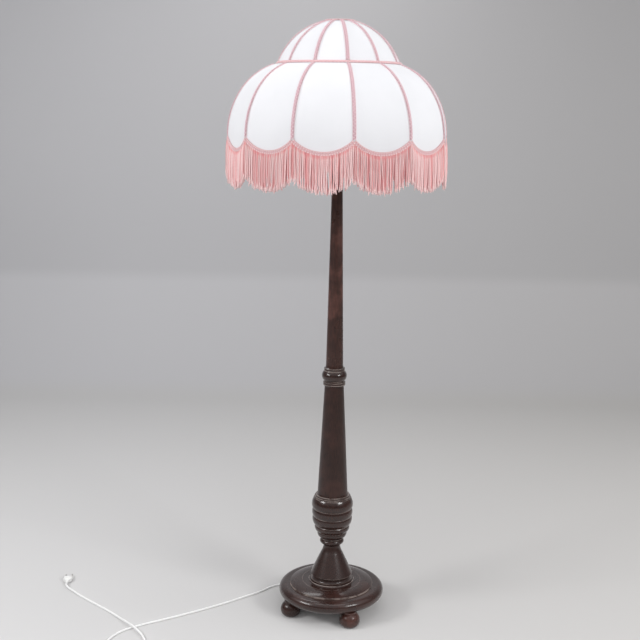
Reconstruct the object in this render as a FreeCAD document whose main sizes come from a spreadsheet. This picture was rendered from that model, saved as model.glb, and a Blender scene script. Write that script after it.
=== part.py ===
import FreeCAD, Part

import math
import os

import Sketcher
from FreeCAD import Placement, Rotation, Vector

# Candlestick floor lamp: a turned wooden column on a moulded disc with four bun feet, and a
# wire-framed fabric shade with a fringe.  Millimetres, +Z up.  The origin is on the floor
# under the column's axis.  Azimuths are counted from +X towards +Y.

os.makedirs("parts", exist_ok=True)
doc = FreeCAD.newDocument("candlestick_floor_lamp")


# ---------------------------------------------------------------- driving sizes

SIZES = {
    # base disc
    "rim_radius": 151, "rim_half": 17, "step_radius": 119, "step_rise": 4, "crown_radius": 84,
    "crown_rise": 7, "crown_bow": 95, "lip_radius": 64, "lip_rise": 3, "recess_radius": 100,
    "recess_depth": 10, "socket_depth": 30, "flare_radius": 14,
    # bun feet
    "foot_height": 46, "foot_radius": 29, "foot_circle": 127, "foot_phase": 24.9, "foot_count": 4,
    "foot_sole": 16, "foot_waist": 18, "foot_fullest": 20, "foot_neck": 5, "dowel_radius": 5,
    "dowel_length": 38, "dowel_seat": 20,
    # column
    "bore_radius": 6, "joint_slack": 0.1, "pedestal_height": 105, "plinth_radius": 60,
    "plinth_rise": 3, "cove_radius": 54, "cone_lift": 18, "cone_radius": 59.5, "cone_waist": 31,
    "cone_waist_height": 81, "neck_radius": 23.2, "neck_bow": 70, "tenon_radius": 22,
    "spigot_radius": 12, "spigot_length": 24, "column_screw_circle": 40, "column_screw_radius": 2.5,
    "column_screw_head": 4.5, "column_screw_bite": 18, "column_screw_count": 3,
    # baluster
    "collar_foot": 4, "collar_foot_radius": 26, "collar_radius": 34.5, "collar_height": 14,
    "collar_waist": 3.5, "groove_1_radius": 29, "lobe_1_radius": 42.5, "lobe_1_fullest": 14.5,
    "lobe_1_height": 18.5, "groove_2_radius": 41.5, "lobe_2_radius": 50.3, "lobe_2_fullest": 14.5,
    "lobe_2_height": 20, "groove_3_radius": 48.5, "lobe_3_radius": 57.2, "lobe_3_fullest": 20,
    "lobe_3_height": 27.7, "groove_4_radius": 55.2, "lobe_4_radius": 58.3, "lobe_4_fullest": 12.8,
    "lobe_4_height": 24, "groove_5_radius": 55.7, "lobe_5_radius": 59.2, "lobe_5_fullest": 10.3,
    "lobe_5_height": 31.8, "shoulder_edge": 53, "ring_low_radius": 51.5, "ring_low_height": 4,
    "ring_high_radius": 48.3, "ring_high_height": 4.5, "baluster_top": 5,
    # shafts and knop
    "lower_shaft_length": 316, "lower_shaft_foot": 43, "lower_shaft_top": 27,
    "shaft_tenon_radius": 14, "shaft_tenon_length": 30, "fillet_low_radius": 31.5,
    "fillet_low_start": 4, "fillet_low_height": 7, "knop_waist_radius": 29, "knop_waist_height": 4,
    "knop_radius": 35, "knop_half": 14, "fillet_high_radius": 29.2, "fillet_high_height": 6,
    "upper_shaft_length": 645, "upper_shaft_foot": 25.2, "upper_shaft_start": 24.1,
    "upper_shaft_flare": 8, "upper_shaft_top": 12.3,
    # lampholder
    "nipple_radius": 5, "nipple_wall": 1.4, "nipple_depth": 20, "nipple_stand": 14,
    "thread_slack": 0.05, "cap_radius": 14.5, "cap_thick": 3, "cap_skirt": 6,
    "nut_corner_radius": 8.1, "nut_thick": 3, "holder_radius": 18.5, "holder_wall": 1.6,
    "holder_neck_radius": 9, "holder_height": 22, "holder_dome_rise": 11, "barrel_radius": 19.75,
    "barrel_wall": 1.9, "barrel_height": 32, "barrel_spigot": 6, "insert_radius": 15.3,
    "insert_flange": 4, "shell_radius": 14, "shell_wall": 0.5, "shell_height": 23,
    "contact_width": 5, "contact_rise": 3.5, "shade_ring_radius": 27, "shade_ring_thick": 4,
    "shade_ring_level": 12, "shade_nut_thick": 6, "switch_level": 12, "switch_radius": 2.5,
    "switch_slack": 0.08, "switch_half_length": 30, "switch_knob_radius": 3.2,
    "switch_knob_length": 6, "switch_travel": 6, "lead_radius": 0.9, "lead_spread": 4.5,
    # bulb
    "bulb_cap_radius": 13.2, "bulb_cap_wall": 0.6, "bulb_cap_height": 23, "bulb_tip_radius": 4.5,
    "bulb_tip_flare": 9, "bulb_tip_height": 3.5, "bulb_radius": 30, "bulb_neck": 16,
    "bulb_neck_height": 8, "bulb_shoulder": 38, "bulb_wall": 0.7, "stem_radius": 2.2,
    "stem_height": 40, "filament_radius": 9, "filament_wire": 0.3,
    # shade
    "shade_phase": 7.7, "gore_count": 12, "cusp_radius": 296, "shoulder_radius": 163,
    "top_radius": 36, "hub_drop": 50, "bell_height": 188, "dome_height": 110.2, "bell_bow": 216,
    "bell_turn": 31, "dome_bow": 168, "fabric_thick": 1.2, "seam_gap": 0.2, "bell_hollow": 3,
    "dome_hollow": 1,
    "wire_radius": 1.6, "wire_gap": 0.3, "scallop_drop": 31, "gimp_width": 10, "gimp_thick": 3,
    "fringe_thick": 4.5, "fringe_length": 95, "fringe_bottom_rise": 35, "rib_braid_width": 11,
    "rib_braid_thick": 2.6, "braid_gap": 0.3, "ring_braid_radius": 4.2, "hub_radius": 30,
    "hub_thick": 2, "hub_slack": 0.08, "arm_radius": 2, "arm_count": 3, "arm_reach": 16,
    # cord
    "cord_radius": 3, "cord_azimuth": 135, "cord_level": 50.5, "cord_bend": 20, "channel_width": 9,
    "bush_flange_radius": 5.4, "bush_flange": 3, "bush_start": 96.5, "bush_barrel": 26,
    "bush_taper": 20, "bush_tip_radius": 3.8, "bush_slack": 0.05, "clip_reach": 68,
    "clip_depth": 10, "clip_width": 30, "clip_thick": 9.5, "clip_screw_radius": 1.5,
    "clip_screw_head": 3, "clip_screw_offset": 10, "clip_screw_bite": 10, "plug_length": 36,
    "plug_width": 26, "plug_thick": 14, "plug_tail": 9, "plug_nose_width": 24, "pin_radius": 2,
    "pin_length": 19, "pin_spacing": 18.6, "pin_root": 6, "plug_azimuth": 95,
}


class Size:
    """A number together with the formula on the sheet that gives it."""

    def __init__(self, value, text=None):
        self.value = value
        self.text = str(value) if text is None else text

    def __add__(self, other):
        return Size(self.value + number(other), f"({self.text} + {formula(other)})")

    def __sub__(self, other):
        return Size(self.value - number(other), f"({self.text} - {formula(other)})")

    def __mul__(self, other):
        return Size(self.value * number(other), f"({self.text} * {formula(other)})")

    def __truediv__(self, other):
        return Size(self.value / number(other), f"({self.text} / {formula(other)})")

    def __neg__(self):
        return Size(-self.value, f"(-1 * {self.text})")


def number(item):
    return item.value if isinstance(item, Size) else item


def formula(item):
    return item.text if isinstance(item, Size) else str(item)


def cosine(angle):
    return Size(math.cos(math.radians(number(angle))), f"cos({formula(angle)})")


def sine(angle):
    return Size(math.sin(math.radians(number(angle))), f"sin({formula(angle)})")


def full_bow(across, along):
    """Radius of the arc that leaves a fullest point square to 'across' and falls by it in 'along'."""
    return (across * across + along * along) / (across * 2)


sheet = doc.addObject("Spreadsheet::Sheet", "size")
size = {}
for row, (alias, value) in enumerate(SIZES.items(), 1):
    sheet.set(f"A{row}", alias.replace("_", " "))
    sheet.set(f"B{row}", str(value))
    sheet.setAlias(f"B{row}", alias)
    size[alias] = Size(value, f"size.{alias}")
doc.recompute()


def mm(name):
    return size[name]


# ---------------------------------------------------------------- drawing tools

parts = {}
LEFT, RIGHT = "left", "right"


class Bow:
    """An arc between two corners of an outline, with its centre to the left or the right."""

    def __init__(self, radius, side):
        self.radius = radius
        self.side = side


def tie(thing, prop, amount):
    """Binds a property to the sheet, or sets it where the amount is a plain number."""
    if "size." in formula(amount):
        thing.setExpression(prop, formula(amount))
    else:
        thing.setExpression(prop, str(number(amount)))


def origin_part(body, role):
    return next(item for item in body.Origin.OriginFeatures if item.Role == role)


def new_body(name):
    body = doc.addObject("PartDesign::Body", name)
    body.Label = name
    parts[name] = body
    return body


def arc_between(start, end, radius, side):
    """The arc from start to end, and the point numbers of its ends in the drawing."""
    chord = end - start
    lift = math.sqrt(max(radius * radius - chord.Length ** 2 / 4, 0.0))
    normal = Vector(-chord.y, chord.x, 0) / chord.Length
    centre = (start + end) / 2 + normal * (lift if side == LEFT else -lift)
    first, last = (start, end) if side == LEFT else (end, start)
    angles = [math.atan2(p.y - centre.y, p.x - centre.x) for p in (first, last)]
    if angles[1] < angles[0]:
        angles[1] += 2 * math.pi
    arc = Part.ArcOfCircle(Part.Circle(centre, Vector(0, 0, 1), radius), *angles)
    return arc, (1, 2) if side == LEFT else (2, 1)


def draw(sketch, outline):
    """Adds a closed outline of corners (across, up) with any bows between them, tied to the sheet."""
    corners = [item for item in outline if not isinstance(item, Bow)]
    bows = {}
    for place, item in enumerate(outline):
        if isinstance(item, Bow):
            bows[sum(not isinstance(other, Bow) for other in outline[:place]) - 1] = item
    points = [Vector(number(across), number(up), 0) for across, up in corners]
    ends, constraints, ties = [], [], []
    for place, start in enumerate(points):
        end = points[(place + 1) % len(points)]
        if place in bows:
            bow = bows[place]
            arc, numbers = arc_between(start, end, number(bow.radius), bow.side)
            index = sketch.addGeometry(arc)
            constraints.append(Sketcher.Constraint("Radius", index, number(bow.radius)))
            ties.append(bow.radius)
        else:
            index = sketch.addGeometry(Part.LineSegment(start, end))
            numbers = (1, 2)
        ends.append((index, numbers))
    for place, (across, up) in enumerate(corners):
        index, numbers = ends[place]
        before, before_numbers = ends[place - 1]
        constraints.append(Sketcher.Constraint("Coincident", before, before_numbers[1], index, numbers[0]))
        ties.append(None)
        for kind, amount in (("DistanceX", across), ("DistanceY", up)):
            constraints.append(Sketcher.Constraint(kind, -1, 1, index, numbers[0], float(number(amount))))
            ties.append(amount)
    first = sketch.ConstraintCount
    sketch.addConstraint(constraints)
    for offset, amount in enumerate(ties):
        if amount is not None and "size." in formula(amount):
            sketch.setExpression(f"Constraints[{first + offset}]", formula(amount))


def new_sketch(body, name, plane, *outlines, lift=None):
    sketch = body.newObject("Sketcher::SketchObject", name)
    sketch.AttachmentSupport = [(origin_part(body, plane), "")]
    sketch.MapMode = "FlatFace"
    if lift is not None:
        tie(sketch, "AttachmentOffset.Base.z", lift)
    for outline in outlines:
        draw(sketch, outline)
    return sketch


def add_turning(body, outline):
    sketch = new_sketch(body, body.Name + "_profile", "XZ_Plane", outline)
    turning = body.newObject("PartDesign::Revolution", body.Name + "_turning")
    turning.Profile = sketch
    turning.ReferenceAxis = (sketch, ["V_Axis"])
    turning.Angle = 360
    body.Tip = turning
    return turning


def turned(name, outline):
    """A piece turned about the column's axis, from its outline of (radius, height)."""
    body = new_body(name)
    add_turning(body, outline)
    return body


def add_holes(body, name, radius, depth, start, spots, upward=True):
    """Round blind holes along Z, from the level 'start', at spots of (x, y)."""
    sketch = new_sketch(body, name + "_spots", "XY_Plane", lift=start)
    for across, up in spots:
        centre = Vector(number(across), number(up), 0)
        index = sketch.addGeometry(Part.Circle(centre, Vector(0, 0, 1), number(radius)))
        for kind, amount in (("DistanceX", across), ("DistanceY", up)):
            place = sketch.addConstraint(
                Sketcher.Constraint(kind, -1, 1, index, 3, float(number(amount))))
            tie(sketch, f"Constraints[{place}]", amount)
        place = sketch.addConstraint(Sketcher.Constraint("Radius", index, number(radius)))
        tie(sketch, f"Constraints[{place}]", radius)
    pocket = body.newObject("PartDesign::Pocket", name)
    pocket.Profile = sketch
    pocket.Reversed = upward
    tie(pocket, "Length", depth)
    body.Tip = pocket
    return pocket


def add_pad(body, name, plane, outline, length, lift=None, midplane=False):
    pad = body.newObject("PartDesign::Pad", name)
    pad.Profile = new_sketch(body, name + "_outline", plane, outline, lift=lift)
    pad.Midplane = midplane
    tie(pad, "Length", length)
    body.Tip = pad
    return pad


def around(body, name, features, count):
    """Repeats features of a body evenly about the Z axis."""
    doc.recompute()
    pattern = body.newObject("PartDesign::PolarPattern", name)
    pattern.Originals = features
    pattern.Axis = (origin_part(body, "Z_Axis"), [""])
    pattern.Angle = 360
    pattern.Occurrences = int(number(count))
    tie(pattern, "Occurrences", count)
    body.Tip = pattern
    return pattern


def place_at(thing, azimuth, reach, level):
    """Moves a piece out along an azimuth and up to a level."""
    tie(thing, "Placement.Base.x", reach * cosine(azimuth))
    tie(thing, "Placement.Base.y", reach * sine(azimuth))
    tie(thing, "Placement.Base.z", level)


def turn_to(thing, azimuth):
    """Turns a piece about the Z axis."""
    thing.Placement = Placement(thing.Placement.Base, Rotation(Vector(0, 0, 1), number(azimuth)))
    tie(thing, "Placement.Rotation.Angle", azimuth)


def set_shape(name, solids):
    """A piece, or a group of separate solids, that the sketch tools don't suit."""
    feature = doc.addObject("Part::Feature", name)
    feature.Label = name
    feature.Shape = solids[0] if len(solids) == 1 else Part.makeCompound(solids)
    parts[name] = feature
    return feature


def rounded_path(points, bend=None, end_share=1):
    """Straight runs joined by arcs as large as the runs allow, or of one given radius.

    An arc takes up to 0.45 of a run, and up to 0.45 times end_share of the first and last runs.
    """
    edges, radii, start = [], [], points[0]
    for before, corner, after in zip(points, points[1:], points[2:]):
        arrive, leave = (corner - before), (after - corner)
        short = min(arrive.Length * (end_share if before is points[0] else 1),
                    leave.Length * (end_share if after is points[-1] else 1))
        arrive.normalize()
        leave.normalize()
        half_turn = arrive.getAngle(leave) / 2
        trim = 0.45 * short if bend is None else bend * math.tan(half_turn)
        radius = trim / math.tan(half_turn)
        radii.append(radius)
        inward = leave - arrive
        inward.normalize()
        middle = corner + inward * (radius / math.cos(half_turn) - radius)
        edges.append(Part.LineSegment(start, corner - arrive * trim).toShape())
        start = corner + leave * trim
        edges.append(Part.Arc(corner - arrive * trim, middle, start).toShape())
    edges.append(Part.LineSegment(start, points[-1]).toShape())
    return Part.Wire(edges), radii


def tube(path, radius):
    """A round bar of one radius along a smooth path."""
    first = path.OrderedEdges[0]
    heading = first.tangentAt(first.FirstParameter)
    section = Part.Wire(Part.Circle(path.OrderedVertexes[0].Point, heading, radius).toShape())
    return Part.Wire(path.OrderedEdges).makePipeShell([section], True, False)


def turned_copies(shape, count, phase=0.0):
    """Copies of a shape spread evenly about the Z axis."""
    copies = []
    for place in range(int(count)):
        copy = shape.copy()
        copy.rotate(Vector(), Vector(0, 0, 1), phase + 360.0 * place / count)
        copies.append(copy)
    return copies


# ---------------------------------------------------------------- levels up the column

underside = mm("foot_height")
recess_top = underside + mm("recess_depth")
rim_top = underside + mm("rim_half") * 2
step_top = rim_top + mm("step_rise")
crown_top = step_top + mm("crown_rise")
seat = crown_top + mm("lip_rise")
socket_floor = seat - mm("socket_depth")
pedestal_top = seat + mm("pedestal_height")
collar_low = pedestal_top + mm("collar_foot")
collar_top = collar_low + mm("collar_height")
lobe_levels = [collar_top + mm("collar_waist")]
for lobe in range(1, 6):
    lobe_levels.append(lobe_levels[-1] + mm(f"lobe_{lobe}_height"))
ring_low_top = lobe_levels[-1] + mm("ring_low_height")
ring_high_top = ring_low_top + mm("ring_high_height")
baluster_top = ring_high_top + mm("baluster_top")
knop_foot = baluster_top + mm("lower_shaft_length")
fillet_low_top = knop_foot + mm("fillet_low_start") + mm("fillet_low_height")
knop_low = fillet_low_top + mm("knop_waist_height")
knop_high = knop_low + mm("knop_half") * 2
fillet_high_low = knop_high + mm("knop_waist_height") / 2
knop_top = fillet_high_low + mm("fillet_high_height") + mm("knop_waist_height") / 2
shaft_top = knop_top + mm("upper_shaft_length")
cap_top = shaft_top + mm("cap_thick")
holder_foot = cap_top + mm("nut_thick")
holder_top = holder_foot + mm("holder_height")
switch_level = holder_foot + mm("switch_level")
barrel_top = holder_top + mm("barrel_height")
insert_foot = holder_top - mm("barrel_spigot") + 1
insert_top = holder_top + mm("insert_flange") + mm("holder_wall")
ring_level = holder_top + mm("shade_ring_level")
hub_level = ring_level + mm("shade_ring_thick") + mm("thread_slack")
hub_top = hub_level + mm("hub_thick")

tenon_slack = mm("joint_slack")
bore = mm("bore_radius")


# ---------------------------------------------------------------- base disc and feet

def foot_azimuth(place):
    return mm("foot_phase") + 90 * place


def spots_around(reach, first, count):
    return [(reach * cosine(first + 360.0 / count * k), reach * sine(first + 360.0 / count * k))
            for k in range(count)]


def make_base_disc():
    rim, half = mm("rim_radius"), mm("rim_half")
    body = turned("base_disc", [
        (mm("flare_radius"), recess_top),
        (mm("recess_radius"), recess_top),
        (mm("recess_radius"), underside),
        (rim - half, underside), Bow(half, LEFT),
        (rim, underside + half), Bow(half, LEFT),
        (rim - half, rim_top),
        (mm("step_radius"), rim_top),
        (mm("step_radius"), step_top), Bow(mm("crown_bow"), LEFT),
        (mm("crown_radius"), crown_top),
        (mm("lip_radius") + mm("lip_rise"), crown_top),
        (mm("lip_radius"), seat),
        (mm("tenon_radius") + tenon_slack, seat),
        (mm("tenon_radius") + tenon_slack, socket_floor),
        (mm("flare_radius"), socket_floor),
    ])
    add_holes(body, "dowel_holes", mm("dowel_radius") + tenon_slack,
              mm("dowel_length") - mm("dowel_seat"), underside,
              spots_around(mm("foot_circle"), mm("foot_phase"), 4))
    add_holes(body, "column_screw_holes", mm("column_screw_radius") + tenon_slack,
              seat - recess_top, recess_top,
              spots_around(mm("column_screw_circle"), mm("cord_azimuth") + 60, 3))
    across = mm("clip_screw_offset")
    reach, azimuth = mm("clip_reach"), mm("cord_azimuth")
    add_holes(body, "clip_screw_holes", mm("clip_screw_radius") + mm("thread_slack"),
              mm("clip_screw_bite"), recess_top,
              [(reach * cosine(azimuth) - across * side * sine(azimuth),
                reach * sine(azimuth) + across * side * cosine(azimuth)) for side in (1, -1)])
    return body


def cut_cord_channel(body):
    """The open channel that leads the cord from the recess out under the rim."""
    channel = doc.addObject("Part::Box", "cord_channel")
    tie(channel, "Length", mm("rim_radius") - mm("recess_radius") / 2)
    tie(channel, "Width", mm("channel_width"))
    tie(channel, "Height", mm("channel_width") + mm("cord_level") - underside)
    channel.Placement = Placement(Vector(), Rotation(Vector(0, 0, 1), number(mm("cord_azimuth"))))
    tie(channel, "Placement.Rotation.Angle", mm("cord_azimuth"))
    azimuth, half = mm("cord_azimuth"), mm("channel_width") / 2
    reach = mm("recess_radius") - mm("recess_radius") / 20
    tie(channel, "Placement.Base.x", reach * cosine(azimuth) + half * sine(azimuth))
    tie(channel, "Placement.Base.y", reach * sine(azimuth) - half * cosine(azimuth))
    tie(channel, "Placement.Base.z", underside - mm("channel_width") / 2)
    cut = doc.addObject("Part::Cut", "base_disc_channelled")
    cut.Base, cut.Tool = body, channel
    cut.Label = "base_disc_channelled"
    parts["base_disc"] = cut


def make_foot(place):
    sole, fullest = mm("foot_sole"), mm("foot_fullest")
    body = turned(f"bun_foot_{place + 1}", [
        (Size(0), Size(0)),
        (sole, Size(0)), Bow(full_bow(mm("foot_radius") - sole, fullest), LEFT),
        (mm("foot_radius"), fullest),
        Bow(full_bow(mm("foot_radius") - mm("foot_waist"), underside - mm("foot_neck") - fullest), LEFT),
        (mm("foot_waist"), underside - mm("foot_neck")),
        (mm("foot_waist"), underside),
        (mm("dowel_radius") + tenon_slack, underside),
        (mm("dowel_radius") + tenon_slack, underside - mm("dowel_seat")),
        (Size(0), underside - mm("dowel_seat")),
    ])
    place_at(body, foot_azimuth(place), mm("foot_circle"), Size(0))


def make_foot_dowels():
    body = new_body("foot_dowels")
    sketch = new_sketch(body, "dowel_rounds", "XY_Plane", lift=underside - mm("dowel_seat"))
    azimuth = mm("foot_phase")
    centre = (mm("foot_circle") * cosine(azimuth), mm("foot_circle") * sine(azimuth))
    index = sketch.addGeometry(Part.Circle(Vector(number(centre[0]), number(centre[1]), 0),
                                           Vector(0, 0, 1), number(mm("dowel_radius"))))
    for kind, amount in (("DistanceX", centre[0]), ("DistanceY", centre[1])):
        place = sketch.addConstraint(Sketcher.Constraint(kind, -1, 1, index, 3, number(amount)))
        tie(sketch, f"Constraints[{place}]", amount)
    place = sketch.addConstraint(Sketcher.Constraint("Radius", index, number(mm("dowel_radius"))))
    tie(sketch, f"Constraints[{place}]", mm("dowel_radius"))
    pad = body.newObject("PartDesign::Pad", "dowel")
    pad.Profile = sketch
    tie(pad, "Length", mm("dowel_length"))
    body.Tip = pad
    around(body, "dowels", [pad], mm("foot_count"))


# ---------------------------------------------------------------- column

def make_pedestal():
    cone_foot = seat + mm("cone_lift")
    waist_level = seat + mm("cone_waist_height")
    body = turned("pedestal_cone", [
        (bore, socket_floor),
        (mm("tenon_radius"), socket_floor),
        (mm("tenon_radius"), seat),
        (mm("plinth_radius"), seat),
        (mm("plinth_radius"), seat + mm("plinth_rise")),
        Bow(full_bow(mm("plinth_radius") - mm("cove_radius"), mm("plinth_rise") * 2), RIGHT),
        (mm("cove_radius"), seat + mm("plinth_rise") * 3),
        (mm("cove_radius"), cone_foot - mm("plinth_rise") / 2),
        (mm("cone_radius"), cone_foot),
        (mm("cone_radius"), cone_foot + 1.5),
        (mm("cone_waist"), waist_level), Bow(mm("neck_bow"), RIGHT),
        (mm("neck_radius"), pedestal_top),
        (mm("spigot_radius"), pedestal_top),
        (mm("spigot_radius"), pedestal_top + mm("spigot_length")),
        (bore, pedestal_top + mm("spigot_length")),
    ])
    add_holes(body, "column_screw_bites", mm("column_screw_radius") + tenon_slack,
              mm("column_screw_bite"), seat,
              spots_around(mm("column_screw_circle"), mm("cord_azimuth") + 60, 3))


def make_baluster():
    outline = [
        (mm("spigot_radius") + tenon_slack, pedestal_top),
        (mm("collar_foot_radius"), pedestal_top),
        (mm("collar_foot_radius") + mm("collar_foot") / 2, collar_low),
        Bow(full_bow(mm("collar_radius") - mm("collar_foot_radius") - mm("collar_foot") / 2,
                     mm("collar_height") / 2), LEFT),
        (mm("collar_radius"), collar_low + mm("collar_height") / 2),
        Bow(full_bow(mm("collar_radius") - mm("groove_1_radius"), mm("collar_height") / 2), LEFT),
        (mm("groove_1_radius"), collar_top),
        (mm("groove_1_radius"), lobe_levels[0]),
    ]
    for lobe in range(1, 6):
        fullest, low = mm(f"lobe_{lobe}_radius"), mm(f"groove_{lobe}_radius")
        high = mm(f"groove_{lobe + 1}_radius") if lobe < 5 else mm("shoulder_edge")
        rise = mm(f"lobe_{lobe}_fullest")
        outline += [
            Bow(full_bow(fullest - low, rise), LEFT),
            (fullest, lobe_levels[lobe - 1] + rise),
            Bow(full_bow(fullest - high, mm(f"lobe_{lobe}_height") - rise), LEFT),
            (high, lobe_levels[lobe]),
        ]
    outline += [
        (mm("ring_low_radius"), lobe_levels[5]),
        (mm("ring_low_radius"), ring_low_top),
        (mm("ring_high_radius"), ring_low_top),
        (mm("ring_high_radius"), ring_high_top),
        (mm("lower_shaft_foot") + 1.5, ring_high_top),
        (mm("lower_shaft_foot"), baluster_top),
        (mm("shaft_tenon_radius") + tenon_slack, baluster_top),
        (mm("shaft_tenon_radius") + tenon_slack, baluster_top - mm("shaft_tenon_length") - tenon_slack),
        (bore, baluster_top - mm("shaft_tenon_length") - tenon_slack),
        (bore, pedestal_top + mm("spigot_length") + tenon_slack),
        (mm("spigot_radius") + tenon_slack, pedestal_top + mm("spigot_length") + tenon_slack),
    ]
    turned("baluster", outline)


def make_lower_shaft():
    turned("lower_shaft", [
        (bore, baluster_top - mm("shaft_tenon_length")),
        (mm("shaft_tenon_radius"), baluster_top - mm("shaft_tenon_length")),
        (mm("shaft_tenon_radius"), baluster_top),
        (mm("lower_shaft_foot"), baluster_top),
        (mm("lower_shaft_top"), knop_foot),
        (mm("spigot_radius"), knop_foot),
        (mm("spigot_radius"), knop_foot + mm("spigot_length")),
        (bore, knop_foot + mm("spigot_length")),
    ])


def make_knop():
    waist, full = mm("knop_waist_radius"), mm("knop_radius")
    start = knop_foot + mm("fillet_low_start")
    socket_low = knop_foot + mm("spigot_length") + tenon_slack
    socket_high = knop_top - mm("spigot_length") - tenon_slack
    turned("knop", [
        (mm("spigot_radius") + tenon_slack, knop_foot),
        (mm("lower_shaft_top") + 1, knop_foot),
        Bow(full_bow(mm("fillet_low_radius") - mm("lower_shaft_top") - 1, mm("fillet_low_start")), LEFT),
        (mm("fillet_low_radius"), start),
        (mm("fillet_low_radius"), fillet_low_top),
        (waist, fillet_low_top + mm("knop_waist_height") / 2),
        (waist, knop_low), Bow(full_bow(full - waist, mm("knop_half")), LEFT),
        (full, knop_low + mm("knop_half")), Bow(full_bow(full - waist, mm("knop_half")), LEFT),
        (waist, knop_high),
        (waist - 0.8, fillet_high_low - 0.5),
        (mm("fillet_high_radius"), fillet_high_low),
        (mm("fillet_high_radius"), fillet_high_low + mm("fillet_high_height")),
        (mm("upper_shaft_foot"), knop_top),
        (mm("spigot_radius") + tenon_slack, knop_top),
        (mm("spigot_radius") + tenon_slack, socket_high),
        (bore, socket_high),
        (bore, socket_low),
        (mm("spigot_radius") + tenon_slack, socket_low),
    ])


def make_upper_shaft():
    thread = mm("nipple_radius") + mm("thread_slack")
    turned("upper_shaft", [
        (bore, knop_top - mm("spigot_length")),
        (mm("spigot_radius"), knop_top - mm("spigot_length")),
        (mm("spigot_radius"), knop_top),
        (mm("upper_shaft_foot"), knop_top),
        Bow(full_bow(mm("upper_shaft_foot") - mm("upper_shaft_start"), mm("upper_shaft_flare")), RIGHT),
        (mm("upper_shaft_start"), knop_top + mm("upper_shaft_flare")),
        (mm("upper_shaft_top"), shaft_top),
        (thread, shaft_top),
        (thread, shaft_top - mm("nipple_depth") - 2),
        (bore, shaft_top - mm("nipple_depth") - 2),
    ])


def make_column_screws():
    """Three screws that draw the pedestal down onto the disc."""
    body = new_body("column_screws")
    azimuth = mm("cord_azimuth") + 60
    head = body.newObject("PartDesign::AdditiveCylinder", "column_screw_heads")
    tie(head, "Radius", mm("column_screw_head"))
    tie(head, "Height", mm("column_screw_radius"))
    shank = body.newObject("PartDesign::AdditiveCylinder", "column_screw_shanks")
    tie(shank, "Radius", mm("column_screw_radius"))
    tie(shank, "Height", seat - recess_top + mm("column_screw_bite") - 0.5)
    for piece, level in ((head, recess_top - mm("column_screw_radius")), (shank, recess_top)):
        piece.AttachmentSupport = [(origin_part(body, "XY_Plane"), "")]
        piece.MapMode = "FlatFace"
        tie(piece, "AttachmentOffset.Base.x", mm("column_screw_circle") * cosine(azimuth))
        tie(piece, "AttachmentOffset.Base.y", mm("column_screw_circle") * sine(azimuth))
        tie(piece, "AttachmentOffset.Base.z", level)
    around(body, "column_screw_set", [head, shank], mm("column_screw_count"))


# ---------------------------------------------------------------- lampholder and bulb

def make_shaft_cap():
    thread = mm("nipple_radius") + mm("thread_slack")
    inner = mm("upper_shaft_top") + 0.3
    turned("shaft_cap", [
        (thread, shaft_top), (inner, shaft_top), (inner, shaft_top - mm("cap_skirt")),
        (mm("cap_radius"), shaft_top - mm("cap_skirt")),
        (mm("cap_radius"), cap_top - mm("cap_thick") / 2), Bow(mm("cap_thick") / 2, LEFT),
        (mm("cap_radius") - mm("cap_thick") / 2, cap_top), (thread, cap_top),
    ])


def make_nipple():
    inner = mm("nipple_radius") - mm("nipple_wall")
    low, high = shaft_top - mm("nipple_depth"), shaft_top + mm("nipple_stand")
    turned("nipple", [(inner, low), (mm("nipple_radius"), low), (mm("nipple_radius"), high),
                      (inner, high)])


def make_nipple_nut():
    body = new_body("nipple_nut")
    block = body.newObject("PartDesign::AdditivePrism", "nut_block")
    hole = body.newObject("PartDesign::SubtractiveCylinder", "nut_hole")
    block.Polygon = 6
    tie(block, "Circumradius", mm("nut_corner_radius"))
    tie(hole, "Radius", mm("nipple_radius") + mm("thread_slack"))
    for piece in (block, hole):
        piece.AttachmentSupport = [(origin_part(body, "XY_Plane"), "")]
        piece.MapMode = "FlatFace"
        tie(piece, "AttachmentOffset.Base.z", cap_top)
        tie(piece, "Height", mm("nut_thick"))
    body.Tip = hole


def cross_hole(body, name, radius, level):
    """A hole right through a body along X."""
    sketch = new_sketch(body, name + "_spot", "YZ_Plane")
    index = sketch.addGeometry(Part.Circle(Vector(0, number(level), 0), Vector(0, 0, 1), number(radius)))
    sketch.addConstraint(Sketcher.Constraint("PointOnObject", index, 3, -2))
    place = sketch.addConstraint(Sketcher.Constraint("DistanceY", -1, 1, index, 3, number(level)))
    tie(sketch, f"Constraints[{place}]", level)
    place = sketch.addConstraint(Sketcher.Constraint("Radius", index, number(radius)))
    tie(sketch, f"Constraints[{place}]", radius)
    pocket = body.newObject("PartDesign::Pocket", name)
    pocket.Profile = sketch
    pocket.Midplane = True
    pocket.Type = "ThroughAll"
    body.Tip = pocket


def make_holder_cap():
    outer, wall = mm("holder_radius"), mm("holder_wall")
    neck, thread = mm("holder_neck_radius"), mm("nipple_radius") + mm("thread_slack")
    dome_top = holder_foot + mm("holder_dome_rise")
    body = turned("lampholder_cap", [
        (thread, holder_foot), (neck, holder_foot),
        Bow(full_bow(outer - neck, mm("holder_dome_rise")), LEFT),
        (outer, dome_top), (outer, holder_top), (outer - wall, holder_top),
        (outer - wall, dome_top + wall / 2),
        Bow(full_bow(outer - neck, mm("holder_dome_rise") - wall), RIGHT),
        (neck - wall, holder_foot + wall * 1.5), (thread, holder_foot + wall * 1.5),
    ])
    cross_hole(body, "switch_holes", mm("switch_radius") + mm("switch_slack"), switch_level)


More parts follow.
